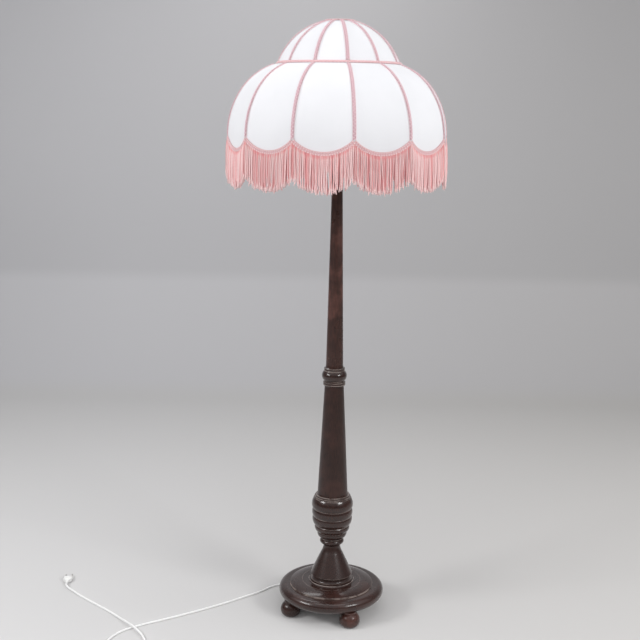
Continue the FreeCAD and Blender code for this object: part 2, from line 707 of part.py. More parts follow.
def make_barrel():
    outer, inner = mm("barrel_radius"), mm("barrel_radius") - mm("barrel_wall")
    spigot = mm("holder_radius") - mm("holder_wall") - tenon_slack
    ledge = holder_top + mm("holder_wall")
    hole = mm("insert_radius") + tenon_slack
    foot = holder_top - mm("barrel_spigot")
    turned("lampholder_barrel", [
        (hole, foot), (spigot, foot), (spigot, holder_top), (outer, holder_top),
        (outer, barrel_top), (inner, barrel_top), (inner, ledge), (hole, ledge),
    ])


def make_insert():
    flange = mm("barrel_radius") - mm("barrel_wall") - tenon_slack
    ledge = holder_top + mm("holder_wall")
    turned("lampholder_insert", [
        (Size(0), insert_foot), (mm("insert_radius"), insert_foot), (mm("insert_radius"), ledge),
        (flange, ledge), (flange, insert_top), (Size(0), insert_top),
    ])


def make_screw_shell():
    outer = mm("shell_radius")
    top = insert_top + mm("shell_height")
    turned("screw_shell", [
        (outer - mm("shell_wall"), insert_top), (outer, insert_top), (outer, top),
        (outer - mm("shell_wall"), top),
    ])


def make_centre_contact():
    """A bent brass tongue that presses on the bulb's tip."""
    leaf, rise = 0.5, mm("contact_rise")
    body = new_body("centre_contact")
    add_pad(body, "contact_tongue", "XZ_Plane", [
        (Size(-11), insert_top), (Size(-4), insert_top), (Size(3), insert_top + rise - leaf),
        (Size(6), insert_top + rise - leaf * 3), (Size(6.4), insert_top + rise - leaf * 2.2),
        (Size(3), insert_top + rise), (Size(2), insert_top + rise),
        (Size(-4.4), insert_top + leaf), (Size(-11), insert_top + leaf),
    ], mm("contact_width"), midplane=True)


def make_shade_rings():
    inner = mm("barrel_radius") + mm("thread_slack")
    outer = mm("shade_ring_radius")
    for name, low, high in (("shade_ring", ring_level, ring_level + mm("shade_ring_thick")),
                            ("shade_nut", hub_top + mm("thread_slack"),
                             hub_top + mm("thread_slack") + mm("shade_nut_thick"))):
        turned(name, [(inner, low), (outer - 1, low), (outer, low + 1), (outer, high - 1),
                      (outer - 1, high), (inner, high)])


def make_switch_bar():
    """The push-through bar, resting at one end of its travel."""
    reach, knob = mm("switch_half_length"), mm("switch_knob_length")
    thin, thick = mm("switch_radius"), mm("switch_knob_radius")
    body = new_body("switch_bar")
    add_turning(body, [
        (Size(0), -reach), (thick - 0.8, -reach), (thick, -reach + 0.8),
        (thick, knob - reach), (thin, knob - reach), (thin, reach - knob),
        (thick, reach - knob), (thick, reach - 0.8), (thick - 0.8, reach), (Size(0), reach),
    ])
    body.Placement = Placement(Vector(number(mm("switch_travel")) / 2, 0, number(switch_level)),
                               Rotation(Vector(0, 1, 0), 90))
    tie(body, "Placement.Base.x", mm("switch_travel") / 2)
    tie(body, "Placement.Base.z", switch_level)


def make_lamp_leads():
    """The two cores of the cord, parted round the switch bar and led to the insert."""
    spread, radius = number(mm("lead_spread")), number(mm("lead_radius"))
    start, end = number(shaft_top + mm("nipple_stand") - 1) + radius * 0.75, number(insert_foot)
    leads = []
    for side in (1, -1):
        path, _ = rounded_path([Vector(0, side * 1.4, start), Vector(0, side * spread, start + 2.6),
                                Vector(0, side * spread, end)])
        leads.append(tube(path, radius))
    set_shape("lamp_leads", leads)


def make_bulb():
    cap, wall = mm("bulb_cap_radius"), mm("bulb_cap_wall")
    tip = insert_top + mm("contact_rise") + 0.1
    cap_foot = tip + mm("bulb_tip_height")
    cap_edge = cap_foot + mm("bulb_tip_height")
    cap_high = cap_foot + mm("bulb_cap_height")
    turned("bulb_tip", [
        (Size(0), tip), (mm("bulb_tip_radius"), tip), (mm("bulb_tip_flare"), cap_foot),
        (Size(0), cap_foot),
    ])
    turned("bulb_cap", [
        (Size(0), cap_foot), (mm("bulb_tip_flare"), cap_foot), (cap, cap_edge), (cap, cap_high),
        (cap - wall, cap_high), (cap - wall, cap_edge + wall / 2),
        (mm("bulb_tip_flare") - wall / 2, cap_foot + wall), (Size(0), cap_foot + wall),
    ])
    tube_radius = cap - wall - tenon_slack
    foot = cap_high - mm("bulb_neck_height")
    neck_level = cap_high + mm("bulb_neck_height")
    middle = neck_level + mm("bulb_shoulder")
    full, skin = mm("bulb_radius"), mm("bulb_wall")
    turned("bulb_glass", [
        (tube_radius - skin, foot), (tube_radius, foot), (tube_radius, cap_high + 0.5),
        (mm("bulb_neck"), neck_level),
        Bow(full_bow(full - mm("bulb_neck"), mm("bulb_shoulder")), LEFT),
        (full, middle), Bow(full, LEFT), (Size(0), middle + full),
        (Size(0), middle + full - skin), Bow(full - skin, RIGHT),
        (full - skin, middle), Bow(full_bow(full - mm("bulb_neck"), mm("bulb_shoulder")), RIGHT),
        (mm("bulb_neck") - skin, neck_level), (tube_radius - skin, cap_high + 0.5),
    ])
    turned("bulb_stem", [
        (Size(0), foot), (tube_radius - skin - 0.1, foot), (tube_radius - skin - 0.1, foot + 1),
        (mm("stem_radius") * 2, foot + 8), (mm("stem_radius"), foot + 14),
        (mm("stem_radius"), foot + mm("stem_height")), (Size(0), foot + mm("stem_height")),
    ])
    make_filament(number(foot + mm("stem_height")))


def make_filament(level):
    """A hoop of filament on two upright supports that rise from the stem's tip."""
    reach, wire = number(mm("filament_radius")), number(mm("filament_wire"))
    hoop = Part.makeTorus(reach, wire, Vector(0, 0, level + 8))
    supports = []
    for side in (1, -1):
        path, _ = rounded_path([Vector(side * 0.9, 0, level), Vector(side * 1.1, 0, level + 3),
                                Vector(side * (reach - 0.2), 0, level + 8 - wire * 2.1)])
        supports.append(tube(path, wire))
    set_shape("filament", [hoop, *supports])


# ---------------------------------------------------------------- shade

HALF_GORE = 180.0 / SIZES["gore_count"]
cusp_level = hub_level - mm("hub_drop")
shoulder_level = cusp_level + mm("bell_height")
shade_top = shoulder_level + mm("dome_height")
apothem = mm("cusp_radius") * cosine(HALF_GORE)


class Arc:
    """A piece of a rib's curve in the upright plane: centre, radius and the angles it spans."""

    def __init__(self, centre, radius, start, end):
        self.centre, self.radius, self.start, self.end = centre, radius, start, end

    def at(self, share, inset=0.0):
        angle = self.start + (self.end - self.start) * share
        reach = self.radius - inset
        return (self.centre[0] + reach * math.cos(angle), self.centre[1] + reach * math.sin(angle))


def bell_arcs():
    """Cusp to shoulder: a slow arc that starts upright, then a tighter one tangent to it."""
    cusp, level = number(mm("cusp_radius")), number(cusp_level)
    low_bow, turn = number(mm("bell_bow")), math.radians(number(mm("bell_turn")))
    low = Arc((cusp - low_bow, level), low_bow, 0.0, turn)
    join = low.at(1.0)
    normal = (math.cos(turn), math.sin(turn))
    gap = (number(mm("shoulder_radius")) - join[0], number(shoulder_level) - join[1])
    high_bow = -(gap[0] ** 2 + gap[1] ** 2) / (2 * (gap[0] * normal[0] + gap[1] * normal[1]))
    centre = (join[0] - high_bow * normal[0], join[1] - high_bow * normal[1])
    end = math.atan2(number(shoulder_level) - centre[1], number(mm("shoulder_radius")) - centre[0])
    return low, Arc(centre, high_bow, turn, end)


def dome_arc():
    """Shoulder to top ring."""
    start = Vector(number(mm("shoulder_radius")), number(shoulder_level), 0)
    end = Vector(number(mm("top_radius")), number(shade_top), 0)
    radius = number(mm("dome_bow"))
    chord = end - start
    lift = math.sqrt(radius ** 2 - chord.Length ** 2 / 4)
    centre = (start + end) / 2 + Vector(-chord.y, chord.x, 0) / chord.Length * lift
    angles = [math.atan2(p.y - centre.y, p.x - centre.x) for p in (start, end)]
    return Arc((centre.x, centre.y), radius, *angles)


def gore_ring(radius, level, bulge):
    """A closed ring of one arc per gore at a level; bulge is how far each stands out of its chord."""
    count = int(number(mm("gore_count")))
    half = math.pi / count
    edges = []
    for place in range(count):
        low, high = 2 * half * place, 2 * half * (place + 1)
        middle = radius * math.cos(half) + bulge
        ends = [Vector(radius * math.cos(a), radius * math.sin(a), level) for a in (low, high)]
        top = Vector(middle * math.cos(low + half), middle * math.sin(low + half), level)
        edges.append(Part.Arc(ends[0], top, ends[1]).toShape())
    return Part.Wire(edges)


def round_bulge(radius):
    """The bulge that makes a ring of gores a true circle."""
    return radius * (1 - math.cos(math.pi / number(mm("gore_count"))))


def skin_of(sections, thick):
    """Fabric between an outer and an inner loft through the same (radius, level, bulge) rings."""
    outer = Part.makeLoft([gore_ring(r, z, b) for r, z, b in sections], True, False)
    inner = Part.makeLoft([gore_ring(r - thick, z, b) for r, z, b in sections], True, False)
    return outer.cut(inner)


def scallop_arc(inset_top, drop):
    """Middle level and end level of a scallop line below the cusps, and its arc's radius."""
    half = number(mm("cusp_radius")) * math.sin(math.radians(HALF_GORE))
    return half, number(cusp_level) - inset_top, number(cusp_level) - inset_top - drop


def below_scallop(offset, floor_level, side_room=0.0):
    """A face in the XZ plane: all of one gore's width that lies below its scallop line."""
    half, ends, middle = scallop_arc(offset, number(mm("scallop_drop")))
    half += side_room
    left, right = Vector(-half, 0, ends), Vector(half, 0, ends)
    low_left, low_right = Vector(-half, 0, floor_level), Vector(half, 0, floor_level)
    arc = Part.Arc(left, Vector(0, 0, middle), right).toShape()
    sides = [Part.LineSegment(right, low_right).toShape(),
             Part.LineSegment(low_right, low_left).toShape(),
             Part.LineSegment(low_left, left).toShape()]
    return Part.Face(Part.Wire([arc, *sides]))


def gore_wedge(low, high, reach):
    """The space of one gore about the +Y direction, a seam's half width in from its neighbours."""
    half, seam = math.radians(HALF_GORE), number(mm("seam_gap")) / 2
    apex = Vector(0, seam / math.sin(half), low)
    left, right = (apex + Vector(side * math.sin(half), math.cos(half), 0) * reach for side in (-1, 1))
    face = Part.Face(Part.makePolygon([apex, right, left, apex]))
    return face.extrude(Vector(0, 0, high - low))


def make_covers():
    """The cloth, cut in gores that meet at the ribs."""
    thick = number(mm("fabric_thick"))
    dome = dome_arc()
    low, high = bell_arcs()
    hollow = number(mm("dome_hollow"))
    sections = []
    for share in (0.0, 0.2, 0.4, 0.6, 0.8, 1.0):
        radius, level = dome.at(share)
        roundness = (2 * share - 1) ** 4
        sections.append((radius, level, round_bulge(radius) * roundness - hollow * (1 - roundness)))
    upper = skin_of(sections, thick)

    hollow = number(mm("bell_hollow"))
    bottom = number(cusp_level - mm("scallop_drop") - mm("gimp_width"))
    cusp = number(mm("cusp_radius"))
    sections = [(cusp, bottom, 0.05), (cusp, (bottom + number(cusp_level)) / 2, 0.05)]
    for arc, shares in ((low, (0.0, 0.5)), (high, (0.0, 0.35, 0.7, 1.0))):
        for share in shares:
            radius, level = arc.at(share)
            rise = (level - number(cusp_level)) / number(mm("bell_height"))
            bulge = round_bulge(radius) * rise ** 6 - hollow * math.sin(math.pi * rise) + 0.05
            sections.append((radius, level, bulge))
    lower = skin_of(sections, thick)
    edge = below_scallop(number(mm("gimp_width")), bottom - 10)
    scallop = edge.extrude(Vector(0, 2 * cusp, 0))
    margin = 5
    for name, shell, start, end in (("dome_cover", upper, shoulder_level, shade_top),
                                    ("bell_cover", lower, Size(bottom), shoulder_level)):
        wedge = gore_wedge(number(start) - margin, number(end) + margin, 2 * cusp)
        shell.rotate(Vector(), Vector(0, 0, 1), HALF_GORE)
        gore = shell.common(wedge).cut(scallop)
        panels = turned_copies(gore, number(mm("gore_count")), HALF_GORE - 90.0)
        cover = set_shape(name, [solid for panel in panels for solid in panel.Solids])
        cover.Placement = Placement(Vector(), Rotation(Vector(0, 0, 1), number(mm("shade_phase"))))


def inset_path(arcs, inset, first_trim, last_trim):
    """A wire along arcs of a rib, moved inwards and shortened at both ends, in the XZ plane."""
    edges = []
    for place, arc in enumerate(arcs):
        reach = arc.radius - inset
        start = first_trim / reach / (arc.end - arc.start) if place == 0 else 0.0
        end = 1 - (last_trim / reach / (arc.end - arc.start) if place == len(arcs) - 1 else 0.0)
        points = [arc.at(share, inset) for share in (start, (start + end) / 2, end)]
        edges.append(Part.Arc(*[Vector(r, 0, z) for r, z in points]).toShape())
    return Part.Wire(edges)


def make_frame():
    """Rings, ribs and scalloped edge wires, welded end to side."""
    wire, count = number(mm("wire_radius")), number(mm("gore_count"))
    inset = number(mm("fabric_thick") + mm("wire_gap")) + wire
    low, high = bell_arcs()
    dome = dome_arc()
    bell_rib = tube(inset_path([low, high], inset, 0.0, wire), wire)
    dome_rib = tube(inset_path([dome], inset, wire, wire), wire)
    phase = Placement(Vector(), Rotation(Vector(0, 0, 1), number(mm("shade_phase"))))
    for name, rib in (("bell_ribs", bell_rib), ("dome_ribs", dome_rib)):
        set_shape(name, turned_copies(rib, count)).Placement = phase
    for name, point in (("shoulder_ring", dome.at(0.0, inset)), ("top_ring", dome.at(1.0, inset))):
        ring = doc.addObject("Part::Torus", name)
        ring.Label = name
        tie(ring, "Radius2", mm("wire_radius"))
        ring.Radius1 = point[0]
        ring.Placement = Placement(Vector(0, 0, point[1]), Rotation())
        parts[name] = ring
    make_scallop_wires(phase)


def make_scallop_wires(phase):
    """Arcs of wire along the scalloped edge, from rib to rib, inside the fabric."""
    wire = number(mm("wire_radius"))
    half, ends, middle = scallop_arc(0.0, number(mm("scallop_drop")))
    inside = number(apothem) - number(mm("fabric_thick") + mm("wire_gap")) - wire
    half = inside * math.tan(math.radians(HALF_GORE))
    bow = (half ** 2 + (ends - middle) ** 2) / (2 * (ends - middle))
    reach = math.asin(half / bow) - wire * 1.2 / bow
    points = [Vector(bow * math.sin(a), inside, middle + bow - bow * math.cos(a))
              for a in (-reach, 0.0, reach)]
    arc = Part.Wire([Part.Arc(*points).toShape()])
    copies = turned_copies(tube(arc, wire), number(mm("gore_count")), HALF_GORE - 90.0)
    set_shape("scallop_wires", copies).Placement = phase


def make_fringe():
    """The fringe as one hanging band: its top meets the gimp, and its foot is scalloped too."""
    count, thick = number(mm("gore_count")), number(mm("fringe_thick"))
    outer = number(apothem) + number(mm("gimp_thick")) + 0.3
    widen = 1 / math.cos(math.radians(HALF_GORE))
    half, ends, middle = scallop_arc(number(mm("gimp_width")), number(mm("scallop_drop")))
    foot_middle = middle - number(mm("fringe_length"))
    foot_ends = foot_middle + number(mm("fringe_bottom_rise"))
    half = outer * math.tan(math.radians(HALF_GORE))

    def band(radius):
        corners = [Vector(radius * widen * math.cos(math.radians(30 * k)),
                          radius * widen * math.sin(math.radians(30 * k)), foot_middle - 1)
                   for k in range(int(count) + 1)]
        return Part.Face(Part.makePolygon(corners)).extrude(Vector(0, 0, ends - foot_middle + 2))

    ring = band(outer).cut(band(outer - thick))
    panel = Part.Wire([
        Part.Arc(Vector(-half, 0, ends), Vector(0, 0, middle), Vector(half, 0, ends)).toShape(),
        Part.LineSegment(Vector(half, 0, ends), Vector(half, 0, foot_ends)).toShape(),
        Part.Arc(Vector(half, 0, foot_ends), Vector(0, 0, foot_middle),
                 Vector(-half, 0, foot_ends)).toShape(),
        Part.LineSegment(Vector(-half, 0, foot_ends), Vector(-half, 0, ends)).toShape(),
    ])
    prism = Part.Face(panel).extrude(Vector(0, outer * 1.2, 0))
    wedge = Part.Face(Part.makePolygon([
        Vector(0, 0, foot_middle - 5), Vector(half * 1.3, outer * 1.3, foot_middle - 5),
        Vector(-half * 1.3, outer * 1.3, foot_middle - 5), Vector(0, 0, foot_middle - 5)]))
    gore = prism.common(wedge.extrude(Vector(0, 0, ends - foot_middle + 10))).common(ring)
    copies = turned_copies(gore, count, HALF_GORE - 90.0)
    fringe = copies[0].multiFuse(copies[1:]).removeSplitter()
    shape = set_shape("fringe", fringe.Solids)
    shape.Placement = Placement(Vector(), Rotation(Vector(0, 0, 1), number(mm("shade_phase"))))


def make_scallop_gimp():
    """The looped braid sewn along each scallop, on the outside of the fabric."""
    width, thick = number(mm("gimp_width")), number(mm("gimp_thick"))
    half, ends, middle = scallop_arc(0.0, number(mm("scallop_drop")))
    half -= 0.4
    face = Part.Face(Part.Wire([
        Part.Arc(Vector(-half, 0, ends), Vector(0, 0, middle), Vector(half, 0, ends)).toShape(),
        Part.LineSegment(Vector(half, 0, ends), Vector(half, 0, ends - width)).toShape(),
        Part.Arc(Vector(half, 0, ends - width), Vector(0, 0, middle - width),
                 Vector(-half, 0, ends - width)).toShape(),
        Part.LineSegment(Vector(-half, 0, ends - width), Vector(-half, 0, ends)).toShape(),
    ]))
    face.translate(Vector(0, number(apothem) + 0.3, 0))
    strip = face.extrude(Vector(0, thick, 0))
    copies = turned_copies(strip, number(mm("gore_count")), HALF_GORE - 90.0)
    gimp = set_shape("scallop_gimp", copies)
    gimp.Placement = Placement(Vector(), Rotation(Vector(0, 0, 1), number(mm("shade_phase"))))


def braid_strip(arcs, first_trim, last_trim):
    """A flat strip of braid that follows a rib just outside the fabric."""
    gap, thick, width = (number(mm(n)) for n in ("braid_gap", "rib_braid_thick", "rib_braid_width"))
    inner = inset_path(arcs, -gap, first_trim, last_trim).OrderedEdges
    outer = inset_path(arcs, -gap - thick, first_trim, last_trim).OrderedEdges
    ends = [(edges[0].Vertexes[0].Point, edges[-1].Vertexes[-1].Point) for edges in (inner, outer)]
    caps = [Part.LineSegment(ends[0][side], ends[1][side]).toShape() for side in (0, 1)]
    face = Part.Face(Part.Wire(Part.__sortEdges__([*inner, *outer, *caps])))
    face.translate(Vector(0, -width / 2, 0))
    return face.extrude(Vector(0, width, 0))


def make_braids():
    count = number(mm("gore_count"))
    low, high = bell_arcs()
    dome = dome_arc()
    cord = number(mm("ring_braid_radius"))
    phase = Placement(Vector(), Rotation(Vector(0, 0, 1), number(mm("shade_phase"))))
    bell = braid_strip([low, high], 0.5, cord * 2.6)
    over = braid_strip([dome], cord * 2.6, cord)
    set_shape("bell_braid", turned_copies(bell, count)).Placement = phase
    set_shape("dome_braid", turned_copies(over, count)).Placement = phase
    slope_dome = dome.start + math.pi / 2
    slope_bell = high.end - math.pi / 2
    bisector = (slope_dome + slope_bell) / 2
    reach = (cord + number(mm("braid_gap"))) / math.sin((slope_dome - slope_bell) / 2)
    shoulder = doc.addObject("Part::Torus", "shoulder_braid")
    shoulder.Radius1 = number(mm("shoulder_radius")) + reach * math.cos(bisector)
    shoulder.Placement = Placement(
        Vector(0, 0, number(shoulder_level) + reach * math.sin(bisector)), Rotation())
    crown = doc.addObject("Part::Torus", "top_braid")
    crown.Radius1 = number(mm("top_radius")) - 0.6
    crown.Placement = Placement(Vector(0, 0, number(shade_top) + cord + 0.1), Rotation())
    for ring in (shoulder, crown):
        tie(ring, "Radius2", mm("ring_braid_radius"))
        ring.Label = ring.Name
        parts[ring.Name] = ring


def make_carrier():
    """The ring that sits on the lampholder, and the arms that hold the frame's shoulder ring."""
    inner = mm("barrel_radius") + mm("hub_slack")
    turned("carrier_ring", [(inner, hub_level), (mm("hub_radius"), hub_level),
                            (mm("hub_radius"), hub_top), (inner, hub_top)])
    arm, wire = number(mm("arm_radius")), number(mm("wire_radius"))
    inset = number(mm("fabric_thick") + mm("wire_gap")) + wire
    ring_reach, ring_height = dome_arc().at(0.0, inset)
    hub, level = number(mm("hub_radius")), number(hub_level + mm("hub_thick") / 2)
    bend = hub + number(mm("arm_reach"))
    rise = Vector(ring_reach - bend, 0, ring_height - level)
    rise.normalize()
    end = Vector(ring_reach, 0, ring_height) - rise * wire
    path, _ = rounded_path([Vector(hub + 0.1, 0, level), Vector(bend, 0, level), end], bend=12)
    arms = turned_copies(tube(path, arm), number(mm("arm_count")))
    phase = Placement(Vector(), Rotation(Vector(0, 0, 1), number(mm("shade_phase"))))
    set_shape("carrier_arms", arms).Placement = phase


# ---------------------------------------------------------------- cord and plug

def cord_line(reach, level):
    """A point on the line that the cord leaves the base along."""
    azimuth = math.radians(number(mm("cord_azimuth")))
    return Vector(reach * math.cos(azimuth), reach * math.sin(azimuth), level)


FLOOR = SIZES["cord_radius"] + 0.05
# The free cord from the bush: down to the floor, out to the left, round a loop and back over
# itself to the plug.
CORD_ROUTE = [
    (-118.5, 139.4, 30.6), (-132.9, 144.4, 9.8), (-155, 142.4, FLOOR), (-172.2, 133.6, FLOOR),
    (-190.8, 117.2, FLOOR), (-210.1, 91.1, FLOOR), (-258.5, 51.3, FLOOR),
    (-318, 2, FLOOR), (-391, -50.5, FLOOR), (-466, -99, FLOOR), (-535, -140, FLOOR),
    (-582, -176, FLOOR), (-607, -222, FLOOR), (-615, -272, FLOOR), (-599, -320, FLOOR),
    (-556, -345, FLOOR), (-513, -328, FLOOR), (-496, -285, FLOOR), (-503, -239, FLOOR),
    (-520, -199, 5), (-542, -172, 9.6), (-570, -140, 9.6), (-598, -105, 5),
    (-642, -56, FLOOR), (-694, -9.5, FLOOR), (-738, 31, FLOOR), (-775, 69, 4.2),
]
PLUG_TAIL = (-806, 119)
LEAD_IN, LEAD_OUT = 14.4, 22


def make_inner_cord():
    """The cord inside the column, turned outwards in the base's recess and out through the bush."""
    level = number(mm("cord_level"))
    end = number(mm("bush_start") + mm("bush_flange") + mm("bush_barrel") + mm("bush_taper"))
    top = number(shaft_top + mm("nipple_stand") - 1)
    path, radii = rounded_path([Vector(0, 0, top), Vector(0, 0, level), cord_line(end, level)],
                               bend=number(mm("cord_bend")))
    set_shape("inner_cord", [tube(path, number(mm("cord_radius")))])
    return cord_line(end, level)


def make_free_cord(start):
    tail = Vector(*PLUG_TAIL, number(mm("plug_thick")) / 2)
    azimuth = math.radians(number(mm("plug_azimuth")))
    first = start + cord_line(LEAD_IN, 0)
    last = tail - Vector(math.cos(azimuth), math.sin(azimuth), 0) * LEAD_OUT
    points = [start, first, *[Vector(*spot) for spot in CORD_ROUTE], last, tail]
    path, radii = rounded_path(points, end_share=2)
    radius = number(mm("cord_radius"))
    solid = tube(path, radius)
    set_shape("free_cord", [solid])
    expected = math.pi * radius ** 2 * path.Length
    print("free cord: length %.0f, bend radii from %.0f" % (path.Length, min(radii)))
    print("  radii", " ".join("%.0f" % r for r in radii))
    print("  volume against section times length: %.5f" % (solid.Volume / expected))


def make_bush():
    body = new_body("cord_bush")
    inner = mm("cord_radius") + mm("bush_slack")
    barrel = mm("channel_width") / 2 - tenon_slack
    start = mm("bush_start")
    neck = start + mm("bush_flange")
    shoulder = neck + mm("bush_barrel")
    tip = shoulder + mm("bush_taper")
    add_turning(body, [
        (inner, start), (mm("bush_flange_radius"), start), (mm("bush_flange_radius"), neck),
        (barrel, neck), (barrel, shoulder), (mm("bush_tip_radius"), tip), (inner, tip),
    ])
    azimuth = number(mm("cord_azimuth"))
    body.Placement = Placement(Vector(0, 0, number(mm("cord_level"))),
                               Rotation(Vector(0, 0, 1), azimuth) * Rotation(Vector(0, 1, 0), 90))
    tie(body, "Placement.Base.z", mm("cord_level"))


def make_cord_clip():
    """A saddle under the base that grips the cord, with its two screws."""
    level, azimuth = recess_top - mm("clip_thick"), mm("cord_azimuth")
    block = doc.addObject("Part::Box", "clip_block")
    slot = doc.addObject("Part::Box", "clip_slot")
    tie(block, "Length", mm("clip_depth"))
    tie(slot, "Length", mm("clip_depth") + 2)
    tie(block, "Width", mm("clip_width"))
    tie(slot, "Width", mm("cord_radius") * 2 + mm("bush_slack") * 2)
    tie(block, "Height", mm("clip_thick"))
    tie(slot, "Height", mm("clip_thick"))
    slot_floor = mm("cord_level") - mm("cord_radius") - mm("bush_slack")
    for box, margin, width, low in ((block, Size(0), mm("clip_width"), level),
                                    (slot, Size(1), mm("cord_radius") * 2 + mm("bush_slack") * 2,
                                     slot_floor)):
        turn_to(box, azimuth)
        reach = mm("clip_reach") - mm("clip_depth") / 2 - margin
        tie(box, "Placement.Base.x", reach * cosine(azimuth) + width / 2 * sine(azimuth))
        tie(box, "Placement.Base.y", reach * sine(azimuth) - width / 2 * cosine(azimuth))
        tie(box, "Placement.Base.z", low)
    clip = doc.addObject("Part::Cut", "cord_clip_blank")
    clip.Base, clip.Tool = block, slot
    azimuth_value = math.radians(number(azimuth))
    radius, bite = number(mm("clip_screw_radius")), number(mm("clip_screw_bite"))
    low, top = number(level), number(recess_top)
    screws, holes = [], []
    for side in (1, -1):
        offset = number(mm("clip_screw_offset")) * side
        spot = cord_line(number(mm("clip_reach")), 0)
        spot += Vector(-math.sin(azimuth_value), math.cos(azimuth_value), 0) * offset
        shank = Part.makeCylinder(radius, top - low + bite - 0.5, spot + Vector(0, 0, low))
        head = Part.makeCone(number(mm("clip_screw_head")) - 0.6, number(mm("clip_screw_head")), 1.6,
                             spot + Vector(0, 0, low - 1.6))
        screws.append(shank.fuse(head).removeSplitter())
        holes.append(Part.makeCylinder(radius + number(mm("thread_slack")), top - low,
                                       spot + Vector(0, 0, low)))
    drills = doc.addObject("Part::Feature", "clip_drills")
    drills.Shape = Part.makeCompound(holes)
    drilled = doc.addObject("Part::Cut", "cord_clip")
    drilled.Base, drilled.Tool = clip, drills
    drilled.Label = "cord_clip"
    parts["cord_clip"] = drilled
    set_shape("clip_screws", screws)


def make_plug():
    """A flat two-pin plug that lies on the floor, its tail meeting the cord."""
    length, tail = mm("plug_length"), mm("plug_tail")
    wide, nose = mm("plug_width") / 2, mm("plug_nose_width") / 2
    neck = mm("cord_radius") + 1.5
    body = new_body("plug_body")
    add_pad(body, "plug_block", "XY_Plane", [
        (Size(0), -neck), (tail, -neck), (tail * 1.8, -wide), (length - 4, -wide),
        (length, -nose), (length, nose), (length - 4, wide), (tail * 1.8, wide),
        (tail, neck), (Size(0), neck),
    ], mm("plug_thick") - 2, lift=Size(1))
    add_pad(body, "plug_faces", "XY_Plane", [
        (tail * 2, -wide + 2), (length - 4, -wide + 2), (length - 1.5, -nose + 1.5),
        (length - 1.5, nose - 1.5), (length - 4, wide - 2), (tail * 2, wide - 2),
    ], mm("plug_thick"))
    sockets = new_sketch(body, "pin_holes_outline", "YZ_Plane", lift=length)
    for side in (1, -1):
        across, up = mm("pin_spacing") / 2 * side, mm("plug_thick") / 2
        index = sockets.addGeometry(Part.Circle(Vector(number(across), number(up), 0),
                                                Vector(0, 0, 1), number(mm("pin_radius"))))
        for kind, amount in (("DistanceX", across), ("DistanceY", up)):
            place = sockets.addConstraint(
                Sketcher.Constraint(kind, -1, 1, index, 3, float(number(amount))))
            tie(sockets, f"Constraints[{place}]", amount)
        place = sockets.addConstraint(Sketcher.Constraint("Radius", index, number(mm("pin_radius"))))
        tie(sockets, f"Constraints[{place}]", mm("pin_radius") + mm("thread_slack"))
    holes = body.newObject("PartDesign::Pocket", "pin_holes")
    holes.Profile = sockets
    tie(holes, "Length", mm("pin_root"))
    body.Tip = holes
    pins = new_body("plug_pins")
    for side, name in ((1, "pin_left"), (-1, "pin_right")):
        pin = pins.newObject("PartDesign::AdditiveCylinder", name)
        pin.AttachmentSupport = [(origin_part(pins, "YZ_Plane"), "")]
        pin.MapMode = "FlatFace"
        tie(pin, "Radius", mm("pin_radius"))
        tie(pin, "Height", mm("pin_length") + mm("pin_root") - 0.2)
        tie(pin, "AttachmentOffset.Base.x", mm("pin_spacing") / 2 * side)
        tie(pin, "AttachmentOffset.Base.y", mm("plug_thick") / 2)
        tie(pin, "AttachmentOffset.Base.z", length - mm("pin_root") + 0.2)
        pins.Tip = pin
    for piece in (body, pins):
        piece.Placement = Placement(Vector(*PLUG_TAIL, 0),
                                    Rotation(Vector(0, 0, 1), number(mm("plug_azimuth"))))
        tie(piece, "Placement.Rotation.Angle", mm("plug_azimuth"))


# ---------------------------------------------------------------- the lamp

disc = make_base_disc()
cut_cord_channel(disc)
for foot in range(4):
    make_foot(foot)
make_foot_dowels()
make_pedestal()
make_baluster()
make_lower_shaft()
make_knop()
make_upper_shaft()
make_column_screws()

make_shaft_cap()
make_nipple()
make_nipple_nut()
make_holder_cap()
make_barrel()
make_insert()
make_screw_shell()
make_centre_contact()
make_shade_rings()
make_switch_bar()
make_lamp_leads()
make_bulb()

make_carrier()
make_frame()
make_covers()
make_braids()
make_scallop_gimp()
make_fringe()

make_free_cord(make_inner_cord())
make_bush()
make_cord_clip()
make_plug()

doc.recompute()

for thing in doc.Objects:
    if "Invalid" in thing.State or "Error" in thing.State:
        raise RuntimeError(f"{thing.Name} can't be built: {thing.State}")
for name, thing in parts.items():
    shape = thing.Shape
    if shape.isNull() or not shape.isValid() or not shape.Solids:
        raise RuntimeError(f"{name} has no sound shape")
for name, thing in parts.items():
    thing.Shape.exportStep(f"parts/{name}.step")
print(len(parts), "nodes written")
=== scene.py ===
"""A candlestick floor lamp with a domed, fringed shade, dressed over its CAD frame."""

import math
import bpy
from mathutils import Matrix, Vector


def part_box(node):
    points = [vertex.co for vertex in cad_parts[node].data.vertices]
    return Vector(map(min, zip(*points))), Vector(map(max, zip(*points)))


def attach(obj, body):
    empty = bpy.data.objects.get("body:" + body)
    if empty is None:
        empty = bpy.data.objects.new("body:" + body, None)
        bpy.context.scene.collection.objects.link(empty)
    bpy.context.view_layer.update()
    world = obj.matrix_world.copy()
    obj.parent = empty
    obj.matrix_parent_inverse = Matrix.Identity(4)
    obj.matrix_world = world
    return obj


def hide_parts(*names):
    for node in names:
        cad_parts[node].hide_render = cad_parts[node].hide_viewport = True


bl_info = {
    "name": "Candlestick floor lamp",
    "version": (1, 0, 0),
    "blender": (4, 5, 0),
    "location": "View3D > Sidebar > Lamp",
    "description": "Builds the lamp's cloth shade, braids, fringe, cord, finishes and studio",
    "category": "Object",
}

import bpy
import numpy as np
from bpy.props import (
    FloatProperty,
    FloatVectorProperty,
    IntProperty,
    PointerProperty,
)
from mathutils import Matrix, Vector

